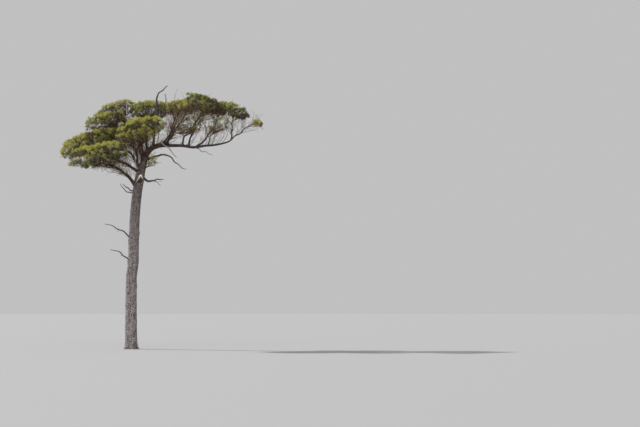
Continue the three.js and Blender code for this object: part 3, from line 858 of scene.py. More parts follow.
class Tint(Enum):
    """The needles' greens: painted light and shade from sunlit tufts to shaded ones inside, then dead rusty
    ones.
    """

    # painted light and shade, dealt by how much sun a tuft gets, brightest first down to SHADE; RUSTY is the
    # colour of dead needles
    SUNNY = PlainFinish("needles_sunny", srgb(182, 180, 88))
    FRESH = PlainFinish("needles_fresh", srgb(152, 152, 74))
    GREEN = PlainFinish("needles_green", srgb(114, 117, 61))
    OLIVE = PlainFinish("needles_olive", srgb(85, 88, 54))
    SHADE = PlainFinish("needles_shade", srgb(61, 62, 46))
    RUSTY = PlainFinish("needles_rusty", srgb(124, 92, 62))


class Wood(Enum):
    """The bark of twigs: brown arms, reddish twigs and red shoots."""

    ARM = PlainFinish("bark_of_arms", srgb(86, 68, 59), 0.85)
    TWIG = PlainFinish("bark_of_twigs", srgb(122, 84, 66), 0.85)
    SHOOT = PlainFinish("bark_of_shoots", srgb(138, 94, 70), 0.8)


# the last entry is the scar's place, which also turns on the crown's painted shade on this bark
TRUNK_BARK = BarkFinish(
    "trunk_bark", srgb(154, 149, 150), srgb(128, 121, 121), srgb(78, 71, 69), srgb(178, 134, 106), 0.13, 0.8,
    (0.52, -0.3, 10.46),
)
BOUGH_BARK = BarkFinish(
    "bough_bark", srgb(84, 75, 72), srgb(68, 60, 58), srgb(42, 36, 34), srgb(132, 94, 72), 0.12, 0.7,
)
DEAD_WOOD = DeadWoodFinish("dead_wood", srgb(86, 78, 75), srgb(64, 56, 53), srgb(40, 34, 32))
SILVER_WOOD = DeadWoodFinish("silver_wood", srgb(164, 159, 160), srgb(122, 116, 117), srgb(76, 70, 70))
# torn wood, painted nearly white as a highlight where light catches the trunk's shoulder
TORN_WOOD_AND_HIGHLIGHT = DeadWoodFinish("torn_wood", srgb(255, 250, 240), srgb(238, 186, 134), srgb(176, 122, 82))


# Barked limbs


@dataclass
class Shell:
    """The bare skins of several limbs, gathered into one mesh with what the bark's rule reads."""

    places: list[np.ndarray] = field(default_factory=list)
    straights: list[np.ndarray] = field(default_factory=list)
    coarse: list[np.ndarray] = field(default_factory=list)
    faces: list[list[int]] = field(default_factory=list)
    count: int = 0

    def add(self, limb: Limb, radius: Callable, sides: int, rings: int, coarse: Callable) -> None:
        """Adds a closed skin round a limb.

        Args:
            limb: The limb, whose side at its tip is kept for what follows it.
            radius: Gives the radius at a share and an angle.
            sides: How many points lie round each ring.
            rings: How many rings lie along the limb.
            coarse: Gives the coarseness of the bark, from 0 to 1, at a share.
        """
        shares = np.linspace(0, 1, rings)
        angles = np.arange(sides) * TAU / sides
        side, along, last = limb.side, limb.bark_start, None
        skin, straights = [], []
        for share in shares:
            place = limb.line.at(share)
            ahead = limb.line.heading(share)
            side = side_of(ahead) if side is None else (side - ahead * side.dot(ahead)).normalized()
            other = side.cross(ahead)
            along += (place - last).length if last else 0.0
            last = place
            r = radius(share, angles)
            across = np.cos(angles) * r
            over = np.sin(angles) * r
            skin.append(np.array(place) + np.outer(across, side) + np.outer(over, other))
            straights.append(np.stack([across, over, np.full(sides, along)], axis=1))
        limb.side = side
        for kept, rows in ((self.places, skin), (self.straights, straights)):
            kept.append(np.vstack([*rows, rows[0].mean(axis=0), rows[-1].mean(axis=0)]))
        grades = np.repeat([coarse(share) for share in shares], sides)
        self.coarse.append(np.concatenate([grades, grades[[0, -1]]]))
        self._add_faces(sides, rings)

    def _add_faces(self, sides: int, rings: int) -> None:
        """Joins the last skin's rings with faces, and closes both ends round a middle point.

        Args:
            sides: How many points lie round each ring.
            rings: How many rings lie along the limb.
        """
        first = self.count
        top = first + (rings - 1) * sides
        middle = top + sides
        steps = [(i, (i + 1) % sides) for i in range(sides)]
        for low in range(first, top, sides):
            for i, j in steps:
                self.faces.append([low + j, low + i, low + sides + i, low + sides + j])
        for i, j in steps:
            self.faces.append([middle, first + i, first + j])
            self.faces.append([middle + 1, top + j, top + i])
        self.count = middle + 2

    def piece(self, name: str) -> bpy.types.Object:
        """Makes one object of the skins.

        Args:
            name: The object's name.

        Returns:
            The object, with the attributes "straight" and "coarse" on its points.
        """
        straight, coarse = np.vstack(self.straights), np.concatenate(self.coarse)
        places = np.vstack(self.places).tolist()
        return add_object(name, places, [], self.faces, straight=straight, coarse=coarse)


def bark_rule() -> Rule:
    """The rule that breaks a smooth skin up into bark plates with fissures between them.

    Returns:
        The rule. It leaves the attribute "plate", which is 0 in a fissure and 1 on a plate.
    """
    fissure_edge, bending, level = (0.015, 0.17), 0.9, 0.7
    plating, roughening, swelling = 0.72, 0.5, 1.6
    drift_scale, flake_scale, swell_scale = 0.9, 3.1, 1.6
    rule = Rule("bark_relief", plate_width="Float", plate_height="Float", depth="Float", material="Material")
    straight, coarse = rule.stored("straight", "FLOAT_VECTOR"), rule.stored("coarse")
    width, height = rule.given("plate_width"), rule.given("plate_height")
    sizes = rule.value("ShaderNodeCombineXYZ", {"X": width, "Y": width, "Z": height})
    scaled = rule.vectors("DIVIDE", straight, sizes)
    drift = rule.value("ShaderNodeTexNoise", {"Vector": scaled, "Scale": drift_scale, "Detail": 1.0}, "Color")
    bent = rule.vectors("ADD", scaled, rule.vectors("MULTIPLY", drift, (bending, bending, bending)))
    border = rule.value("ShaderNodeTexVoronoi", {"Vector": bent, "Scale": 1.0}, feature="DISTANCE_TO_EDGE")
    plate = rule.step(border, *fissure_edge)
    flakes = rule.noise(bent, flake_scale, roughness=0.6)
    swell = rule.noise(straight, swell_scale, detail=1.0)
    relief = plate * (plating + roughening * flakes) + (swell - 0.5) * swelling - level
    normal = rule.value("GeometryNodeInputNormal", None, "Normal")
    offset = rule.vectors("SCALE", normal, relief * coarse * rule.given("depth"))
    sockets = {"Geometry": rule.geometry, "Name": "plate", "Value": plate}
    kept = rule.value("GeometryNodeStoreNamedAttribute", sockets, data_type="FLOAT", domain="POINT")
    moved = rule.value("GeometryNodeSetPosition", {"Geometry": kept, "Offset": offset})
    rule.ends(rule.value("GeometryNodeSetShadeSmooth", {"Geometry": moved}))
    return rule


@dataclass(frozen=True)
class Relief:
    """The size of a bark's plates and the depth of the fissures between them."""

    plate_width: float
    plate_height: float
    depth: float

    def carve(self, piece: bpy.types.Object, bark: Rule, finish: BarkFinish | DeadWoodFinish) -> None:
        """Gives a piece its relief and its finish."""
        bark.run(piece, plate_width=self.plate_width, plate_height=self.plate_height, depth=self.depth,
                 material=finish.material())


def dress(piece: bpy.types.Object, replaced: Iterable[str]) -> None:
    """Seats a piece on the tree's body and reports it.

    Args:
        piece: The finished piece.
        replaced: The CAD nodes that it stands for.
    """
    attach(piece, "root")
    nodes = list(replaced)
    if nodes:
        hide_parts(*nodes)
    corners = np.array([len(face.vertices) for face in piece.data.polygons])
    log.info("%s: %d triangles", piece.name, int((corners - 2).sum()))


@dataclass(frozen=True)
class Knot:
    """A swelling on the trunk where a branch once grew."""

    height: float
    angle: float
    spread: float
    rise: float


@dataclass
class Trunk:
    """The bole, from the flat cut at the ground to the place where the long limb carries on."""

    line: TrunkLine = field(default_factory=TrunkLine)
    foot_radius: float = 0.375
    fork_height: float = 10.4
    fork_radius: float = 0.295
    top_radius: float = 0.192
    flare: float = 0.15
    flare_fade: float = 0.28
    buttresses: int = 5
    buttress_share: float = 0.45
    sides: int = 96
    rings: int = 520
    relief: Relief = Relief(0.075, 0.18, 0.024)
    coarse_fade: float = 0.62
    knots: tuple[Knot, ...] = (
        Knot(5.42, 3.1, 0.16, 0.035),
        Knot(7.2, 0.1, 0.12, 0.04),
        Knot(3.9, -0.1, 0.14, 0.03),
        Knot(6.7, 2.9, 0.16, 0.03),
        Knot(8.6, 1.3, 0.12, 0.03),
        Knot(2.3, 1.9, 0.15, 0.025),
        Knot(9.5, 4.6, 0.14, 0.035),
    )

    def radius(self, share: float, angles: np.ndarray) -> np.ndarray:
        """The radius at a share of the height, at each of several angles.

        Args:
            share: The share of the trunk's height.
            angles: The angles round the trunk, from +X towards the front.

        Returns:
            One radius for each angle.
        """
        height = share * self.line.height
        bole = np.interp(height, [0, self.fork_height], [self.foot_radius, self.fork_radius])
        neck = smoothstep((height - self.fork_height) / (self.line.height - self.fork_height))
        lobe = 1 - self.buttress_share + self.buttress_share * np.cos(self.buttresses * angles)
        foot = self.flare * math.exp(-height / self.flare_fade) * lobe
        round_about = bole + (self.top_radius - bole) * neck + foot
        for knot in self.knots:
            turn = (angles - knot.angle + math.pi) % TAU - math.pi
            away = np.hypot(turn * bole, height - knot.height) / knot.spread
            round_about = round_about + knot.rise * np.exp(-away * away)
        return round_about

    def coarse(self, share: float) -> float:
        """How coarse the bark is: deep plates at the foot, and thin flakes towards the crown."""
        return 1.0 - self.coarse_fade * share

    def build(self, limb: Limb, bark: Rule) -> None:
        """Builds and dresses the trunk.

        Args:
            limb: The trunk's own limb, on which others have grown.
            bark: The rule for the bark's relief.
        """
        shell = Shell()
        shell.add(limb, self.radius, self.sides, self.rings, self.coarse)
        piece = shell.piece("trunk_with_bark")
        self.relief.carve(piece, bark, TRUNK_BARK)
        self._rest_on_ground(piece.data)
        dress(piece, ["trunk"])

    @staticmethod
    def _rest_on_ground(mesh: bpy.types.Mesh) -> None:
        """Keeps the cut at the foot flat.

        Args:
            mesh: The trunk's mesh.
        """
        places = np.empty(len(mesh.vertices) * 3, np.float32)
        mesh.vertices.foreach_get("co", places)
        places[2::3] = np.maximum(places[2::3], 0)
        mesh.vertices.foreach_set("co", places)
        mesh.update()


@dataclass
class Boughs:
    """The live limbs, from the trunk to where they enter their pads."""

    ring_spacing: float = 0.035
    side_spacing: float = 0.035
    fewest_sides: int = 9
    fewest_rings: int = 8
    collar: float = 0.5
    collar_reach: float = 1.6
    join_share: float = 0.06
    coarse_least: float = 0.2
    coarse_for_radius: float = 2.6
    coarse_more: float = 0.5
    coarse_fade: float = 0.5
    relief: Relief = Relief(0.06, 0.13, 0.02)

    def skin(self, shell: Shell, limb: Limb, plan: LimbPlan, parent: Limb) -> None:
        """Adds one limb to a shell, with a collar where it leaves its parent.

        Args:
            shell: The shell that gathers the limbs.
            limb: The limb.
            plan: The limb's plan.
            parent: The limb that it grows on.
        """
        length = limb.length
        rings = max(int(length / self.ring_spacing), self.fewest_rings)
        sides = max(int(TAU * limb.radii[0] / self.side_spacing), self.fewest_sides)
        buried = parent.radius(plan.at)

        def radius(share: float, _: np.ndarray) -> float:
            """The limb's radius, thicker near its parent, or as thick as a parent whose tip it follows.

            Args:
                share: The share of the limb's length.

            Returns:
                The radius, the same all round.
            """
            if plan.follows:
                join = (parent.radius(1) - limb.radii[0]) * math.exp(-share / self.join_share)
                return limb.radius(share) + join
            out = max(share * length - buried, 0.0) / (limb.radii[0] * self.collar_reach)
            return limb.radius(share) * (1 + self.collar * math.exp(-out))

        limb.side = parent.side if plan.follows else None
        coarse = self.coarse_least + min(limb.radii[0] * self.coarse_for_radius, self.coarse_more)
        shell.add(limb, radius, sides, rings, lambda share: coarse * (1 - self.coarse_fade * share))

    def build(self, limbs: dict[str, Limb], bark: Rule) -> None:
        """Builds and dresses all live limbs.

        Args:
            limbs: Each limb by name.
            bark: The rule for the bark's relief.
        """
        shell = Shell()
        for name, plan in BOUGHS.items():
            self.skin(shell, limbs[name], plan, limbs[plan.parent])
        piece = shell.piece("boughs_with_bark")
        self.relief.carve(piece, bark, BOUGH_BARK)
        dress(piece, BOUGHS)


@dataclass
class DeadLimbs:
    """The bare limbs, grey and cracked, with the short spurs of the twigs that have broken off."""

    boughs: Boughs = field(
        default_factory=lambda: Boughs(ring_spacing=0.03, side_spacing=0.02, fewest_sides=8, collar=0.35))
    relief: Relief = Relief(0.03, 0.4, 0.007)
    first_seed: int = 900
    spur_spacing: float = 0.24
    spur_length: Pair = (0.08, 0.42)
    spur_radius: float = 0.38
    spur_taper: float = 0.4
    spur_bark: float = 1.7
    silver: tuple[str, ...] = ("grey_snag", "dead_hanger")
    stems: tuple[tuple[Spot, Spot, Spot], ...] = (
        ((0.3, -0.26, 11.2), (0.12, -0.42, 12.2), (0.24, -0.6, 13.1)),
        ((0.42, -0.28, 11.5), (0.44, -0.5, 12.3), (0.4, -0.62, 12.9)),
    )
    stem_radii: Pair = (0.034, 0.018)
    stem_sides: int = 8
    stem_rings: int = 30
    thin_coarse: float = 0.2

    def build(self, limbs: dict[str, Limb], bark: Rule) -> None:
        """Builds and dresses the dead limbs.

        Args:
            limbs: Each limb by name.
            bark: The rule for the relief, which is shallow here.
        """
        dark, silver = Shell(), Shell()
        for order, (name, plan) in enumerate(DEAD_LIMBS.items()):
            shell = silver if name in self.silver else dark
            self.boughs.skin(shell, limbs[name], plan, limbs[plan.parent])
            self._spurs(shell, limbs[name], Dice(self.first_seed + order))
        for corners in self.stems:
            self._thin(silver, Limb(Bend(*map(Vector, corners)), self.stem_radii, 0.0), self.stem_sides,
                       self.stem_rings)
        rest = [name for name in DEAD_LIMBS if name not in self.silver]
        for name, shell, finish, replaced in (
            ("dark_dead_limbs", dark, DEAD_WOOD, rest),
            ("silver_dead_limbs", silver, SILVER_WOOD, self.silver),
        ):
            piece = shell.piece(name)
            self.relief.carve(piece, bark, finish)
            dress(piece, replaced)

    def _thin(self, shell: Shell, limb: Limb, sides: int, rings: int) -> None:
        """Adds a thin limb with no collar."""
        shell.add(limb, limb.radius, sides, rings, lambda _: self.thin_coarse)

    def _spurs(self, shell: Shell, limb: Limb, dice: Dice) -> None:
        """Adds thin broken twigs along the outer part of a limb.

        Args:
            shell: The shell that gathers them.
            limb: The limb.
            dice: The limb's own random numbers.
        """
        start, outer, span, sides, rings = 0.3, 0.7, 0.65, 5, 6
        wander, handle, forward, lift = 0.4, 0.4, 0.7, (-0.1, 0.25)
        count = int(limb.length * outer / self.spur_spacing)
        for index in range(count):
            share = start + span * (index + dice.roll()) / count
            root, ahead = limb.line.at(share), limb.line.heading(share)
            out = way_out(ahead, index * GOLDEN_TURN + dice.between(-wander, wander))
            reach = dice.between(*self.spur_length) * (1.1 - share)
            bend = root + (ahead + out) * (reach * handle)
            tip = root + (ahead * forward + out) * reach + UP * dice.between(*lift) * reach
            thick = limb.radius(share) * self.spur_radius
            spur = Limb(Bend(root, bend, tip), (thick, thick * self.spur_taper), index * self.spur_bark)
            self._thin(shell, spur, sides, rings)


@dataclass
class Scar:
    """The pale wound under the crown, where a limb has torn off: two legs of bare wood that meet above,
    painted nearly white as a highlight too.
    """

    apex: Pair = (0.56, 10.83)
    feet: tuple[Pair, ...] = ((0.31, 10.42), (0.72, 10.56))
    width: float = 0.042
    taper: float = 0.3
    sides: int = 12
    rings: int = 16
    splinters: int = 7
    splinter_width: float = 0.012
    splinter_start: Pair = (0.1, 0.8)
    splinter_lean: float = 0.03
    splinter_length: Pair = (0.08, 0.2)
    seed: int = 77

    def build(self, trunk: Trunk) -> None:
        """Builds and dresses the wound on the front of the trunk.

        Args:
            trunk: The trunk, whose surface it follows.
        """
        shell = Shell()
        for foot in self.feet:
            self._strip(shell, trunk, self.apex, foot, self.width)
        dice = Dice(self.seed)
        for index in range(self.splinters):
            foot = self.feet[index % len(self.feet)]
            share = dice.between(*self.splinter_start)
            start = tuple(a + (f - a) * share for a, f in zip(self.apex, foot))
            lean = dice.between(-self.splinter_lean, self.splinter_lean)
            end = (start[0] + lean, start[1] - dice.between(*self.splinter_length))
            self._strip(shell, trunk, start, end, self.splinter_width)
        piece = shell.piece("torn_wood_scar")
        piece.data.materials.append(TORN_WOOD_AND_HIGHLIGHT.material())
        piece.data.shade_smooth()
        dress(piece, [])

    def _strip(self, shell: Shell, trunk: Trunk, top: Pair, foot: Pair, width: float) -> None:
        """Adds a tapering strip that lies on the trunk.

        Args:
            shell: The shell that gathers the strips.
            trunk: The trunk.
            top: The x and z of the upper end.
            foot: The x and z of the lower end.
            width: The strip's half width at its widest.
        """
        ends = [self._on_bark(trunk, *place) for place in (top, foot)]
        between = self._on_bark(trunk, (top[0] + foot[0]) / 2, (top[1] + foot[1]) / 2)
        bend = between * 2 - (ends[0] + ends[1]) / 2
        strip = Limb(Bend(ends[0], bend, ends[1]), (width, width * self.taper), 0.0)

        def radius(share: float, angles: np.ndarray) -> np.ndarray:
            """The strip's half width, thickest a little below the top, with torn edges.

            Args:
                share: The share of the strip's length, from the top.
                angles: The angles round the strip.

            Returns:
                One radius for each angle.
            """
            start, speed, roundness, least, torn = 0.18, 1.4, 0.7, 0.25, 0.12
            swell = math.sin(math.pi * min(share * speed + start, 1)) ** roundness
            edge = 1 + torn * np.sin(angles * 5 + share * 23)
            return width * (least + (1 - least) * swell) * edge

        shell.add(strip, radius, self.sides, self.rings, lambda _: 0.0)

    @staticmethod
    def _on_bark(trunk: Trunk, x: float, z: float) -> Vector:
        """The place on the front of the trunk that lies at x and z.

        Args:
            trunk: The trunk.
            x: How far to the right the place lies.
            z: How high it lies.

        Returns:
            The place on the trunk's surface.
        """
        front, widest = math.pi / 2, 0.96
        share = z / trunk.line.height
        middle = trunk.line.at(share)
        radius = float(trunk.radius(share, np.array([front]))[0])
        off = max(min((x - middle.x) / radius, widest), -widest)
        return Vector((x, middle.y - radius * math.sqrt(1 - off * off), z))


# Pads of needles


@dataclass
class Fork:
    """A place on a twig where another may fork off."""

    root: Vector
    along: Vector
    radius: float
    taken: bool = False

    TURN_COST = 0.75

    def cost(self, tip: Vector) -> float:
        """The length of the way from here to a tip, dearer where it turns back."""
        way = tip - self.root
        return way.length * (1 + self.TURN_COST) - way.dot(self.along) * self.TURN_COST


@dataclass
class Twig:
    """A twig on one soft bend, which thins towards its tip."""

    line: Line
    radius: float
    tip_radius: float

    FORKS = 5
    LAST_FORK = 0.95

    @cached_property
    def forks(self) -> list[Fork]:
        """The places where others may fork off."""
        return [self.fork_at(self.LAST_FORK * (i + 1) / self.FORKS) for i in range(self.FORKS)]

    def fork_at(self, share: float) -> Fork:
        """The place at a share of the twig, as a fork."""
        radius = self.radius + (self.tip_radius - self.radius) * share
        return Fork(self.line.at(share), self.line.heading(share), radius)


@dataclass
class WoodLines:
    """Twigs as rows of points with a thickness, which the rule for twigs turns into wood."""

    places: list[Vector] = field(default_factory=list)
    thickness: list[float] = field(default_factory=list)
    edges: list[tuple[int, int]] = field(default_factory=list)

    def add(self, twig: Twig, steps: int) -> None:
        """Adds one twig.

        Args:
            twig: The twig.
            steps: How many straight steps it gets.
        """
        first = len(self.places)
        for step in range(steps + 1):
            share = step / steps
            self.places.append(twig.line.at(share))
            self.thickness.append(twig.radius + (twig.tip_radius - twig.radius) * share)
        self.edges.extend((first + i, first + i + 1) for i in range(steps))

    def piece(self, name: str) -> bpy.types.Object:
        """The rows of points as an object of edges."""
        return add_object(name, self.places, self.edges, [], thickness=self.thickness)


@dataclass(frozen=True)
class Tuft:
    """A tuft of needles: where it starts, where it points, its size, and how much sun it gets."""

    place: Vector
    facing: Vector
    size: float
    light: float


def twig_rule() -> Rule:
    """The rule that gives rows of points a round section.

    Returns:
        The rule. Its points carry the attribute "thickness".
    """
    rule = Rule("twigs_from_lines", sides="Int", material="Material")
    curve = rule.value("GeometryNodeMeshToCurve", {"Mesh": rule.geometry})
    sockets = {"Resolution": rule.given("sides"), "Radius": 1.0}
    ring = rule.value("GeometryNodeCurvePrimitiveCircle", sockets, "Curve")
    sockets = {"Curve": curve, "Profile Curve": ring, "Scale": rule.stored("thickness"), "Fill Caps": True}
    tube = rule.value("GeometryNodeCurveToMesh", sockets)
    rule.ends(rule.value("GeometryNodeSetShadeSmooth", {"Geometry": tube}))
    return rule


@dataclass
class Needle:
    """One needle, larger than life: a narrow blade of two faces with a fold along its middle."""

    length: float = 0.085
    width: float = 0.015
    widest: float = 0.42
    fold: float = 0.0025

    def piece(self) -> bpy.types.Object:
        """The needle on its own, which the rule for tufts repeats.

        Returns:
            The object, which isn't in the scene and is removed in the end.
        """
        half, middle = self.width / 2, self.length * self.widest
        places = [(0, 0, 0), (half, self.fold, middle), (0, 0, self.length), (-half, self.fold, middle)]
        mesh = bpy.data.meshes.new("needle")
        mesh.from_pydata(places, [], [(0, 1, 2), (0, 2, 3)])
        return bpy.data.objects.new("needle", mesh)


def tuft_rule(shapes: int = 5) -> Rule:
    """The rule that puts a tuft of needles on each point.

    Args:
        shapes: How many different tufts are dealt out.

    Returns:
        The rule. Its points carry the attributes "facing" and "size".
    """
    wildness, lengths, shape_turn = 0.22, (0.82, 1.12), 1.3
    rule = Rule("needle_tufts", needle="Object", needles="Int", shoot_length="Float", spread_at_foot="Float",
                spread_at_tip="Float", seed="Int", material="Material")
    needle = rule.value("GeometryNodeObjectInfo", {"Object": rule.given("needle")}, "Geometry")
    index = rule.value("GeometryNodeInputIndex")
    count, seed = rule.given("needles"), rule.given("seed")
    foot, tip = rule.given("spread_at_foot"), rule.given("spread_at_tip")
    share = index / count
    offset = rule.value("ShaderNodeCombineXYZ", {"Z": rule.given("shoot_length") / count})
    several = rule.node("GeometryNodeJoinGeometry")
    for shape in range(shapes):
        axis = rule.value("GeometryNodeMeshLine", {"Count": count, "Offset": offset}, mode="OFFSET")
        tilt = foot + (tip - foot) * share + rule.random(-wildness, wildness, seed + shape)
        turn = index * GOLDEN_TURN + shape * shape_turn
        euler = rule.value("ShaderNodeCombineXYZ", {"X": tilt, "Z": turn})
        length = rule.random(*lengths, seed + (shape + shapes))
        sockets = {"Points": axis, "Instance": needle, "Rotation": euler, "Scale": length}
        ring = rule.value("GeometryNodeInstanceOnPoints", sockets)
        whole = rule.value("GeometryNodeRealizeInstances", {"Geometry": ring})
        tuft = rule.value("GeometryNodeGeometryToInstance", {"Geometry": whole})
        rule.feed(several.inputs["Geometry"], tuft)
    aimed = rule.value("FunctionNodeAlignRotationToVector", {"Vector": rule.stored("facing", "FLOAT_VECTOR")},
                       axis="Z")
    sockets = {"Axis": (0.0, 0.0, 1.0), "Angle": rule.random(0.0, TAU, seed)}
    sockets = {"Rotation": aimed, "Rotate By": rule.value("FunctionNodeAxisAngleToRotation", sockets)}
    turned = rule.value("FunctionNodeRotateRotation", sockets, rotation_space="LOCAL")
    sockets = {"Points": rule.geometry, "Instance": rule.out(several), "Pick Instance": True,
               "Instance Index": rule.maths("MODULO", index, float(shapes)), "Rotation": turned,
               "Scale": rule.stored("size")}
    placed = rule.value("GeometryNodeInstanceOnPoints", sockets)
    rule.ends(rule.value("GeometryNodeRealizeInstances", {"Geometry": placed}))
    return rule


@dataclass(frozen=True)
class Boss:
    """A small dome of tufts at the end of an arm, painted light on the surface of its pad and painted shade
    inside.
    """

    centre: Vector
    facing: Vector
    reach: float
    tufts: int
    light: float


@dataclass(frozen=True)
class Fringe:
    """The bare twigs of a branch: how many, the shortest and the longest, and the share with a small tuft."""

    count: int
    reach: Pair
    tufted: float


@dataclass
class Growth:
    """How the source grows twigs: the stem of a pad, the places of its arms' tips, and the way of a twig."""

    stem_share: float = 0.4
    stem_least_span: float = 0.35
    stem_lift: float = -0.1
    stem_handle: float = 0.4
    stem_radius: float = 0.92
    stem_overlap: float = 0.03
    stem_taper: float = 0.4
    rim_gap: float = 0.72 * 0.64
    first_tip: float = 0.6
    tip_wander: float = 0.25
    tier_wander: Pair = (0.85, 1.1)
    thinning: float = 0.45
    bend_ahead: float = 0.16
    bend_low: float = 0.4
    taper: float = 0.5
    border: float = 0.03

    def in_own_space(self, pad: PadPlan, points: np.ndarray, limit: float = 1.0) -> np.ndarray:
        """Tells which points lie in a pad's space and are nearer to its centre than to any other pad's.

        Args:
            pad: The pad.
            points: One place a row.
            limit: The depth at which the space ends.

        Returns:
            True or False for each point.
        """
        own = pad.depth(points)
        others = np.min([p.depth(points) for p in PADS.values() if p is not pad], axis=0)
        return (own <= limit) & (own + self.border < others)

    def stem_of(self, pad: PadPlan, bough: Limb) -> Twig:
        """The stem that runs on from a bough's tip, through the pad's centre and out on the far side.

        Args:
            pad: The pad.
            bough: The bough that carries it.

        Returns:
            The stem.
        """
        arrives = bough.line.heading(1)
        root = bough.line.at(1) + arrives * SEAT_GAP
        out_x, out_y = pad.centre[0] - root.x, pad.centre[1] - root.y
        span = max(math.hypot(out_x / pad.reach[0], out_y / pad.reach[1]), self.stem_least_span)
        out_x, out_y = out_x * self.stem_share / span, out_y * self.stem_share / span
        lift = pad.rise * self.stem_lift + pad.slope * out_x
        tip = Vector(pad.centre) + Vector((out_x, out_y, lift))
        bend = root + arrives * ((tip - root).length * self.stem_handle)
        radius = bough.radius(1) * self.stem_radius
        return Twig(Bend(root - arrives * self.stem_overlap, bend, tip), radius, radius * self.stem_taper)

    def tip_of(self, pad: PadPlan, index: int, count: int, tiers: tuple[float, ...], dice: Dice) -> Vector:
        """Where an arm ends: tips lie at golden angles out to the rim, on several tiers.

        Args:
            pad: The pad.
            index: The number of the arm.
            count: How many arms the pad has.
            tiers: The height of each tier's middle, as a share of the pad's rise or of its hang.
            dice: The arm's own random numbers.

        Returns:
            The place of the tip.
        """
        spread = 1 - self.rim_gap * math.sqrt(math.pi / count)
        out = spread * math.sqrt((index + self.first_tip) / count)
        turn = index * GOLDEN_TURN + pad.seed + dice.between(-self.tip_wander, self.tip_wander)
        share = tiers[index % len(tiers)]
        tier = share * (pad.rise if share > 0 else pad.hang)
        x = pad.reach[0] * out * math.cos(turn)
        y = pad.reach[1] * out * math.sin(turn)
        z = tier * (1 - out**pad.PILLOW) ** (1 / pad.PILLOW) * dice.between(*self.tier_wander)
        return Vector(pad.centre) + Vector((x, y, z + pad.slope * x))

    def twig_to(self, tip: Vector, fork: Fork, least: float) -> Twig:
        """The twig from a fork to a tip: it sets off the fork's way and lifts towards its end.

        Args:
            tip: Where it ends.
            fork: Where it forks off.
            least: The least radius at its root.

        Returns:
            The twig.
        """
        reach = (tip - fork.root).length
        bend = fork.root.lerp(tip, 0.5) + fork.along * (self.bend_ahead * reach)
        bend.z += (fork.root.z - bend.z) * self.bend_low
        radius = max(fork.radius * self.thinning, least)
        return Twig(Bend(fork.root, bend, tip), radius, least * self.taper)


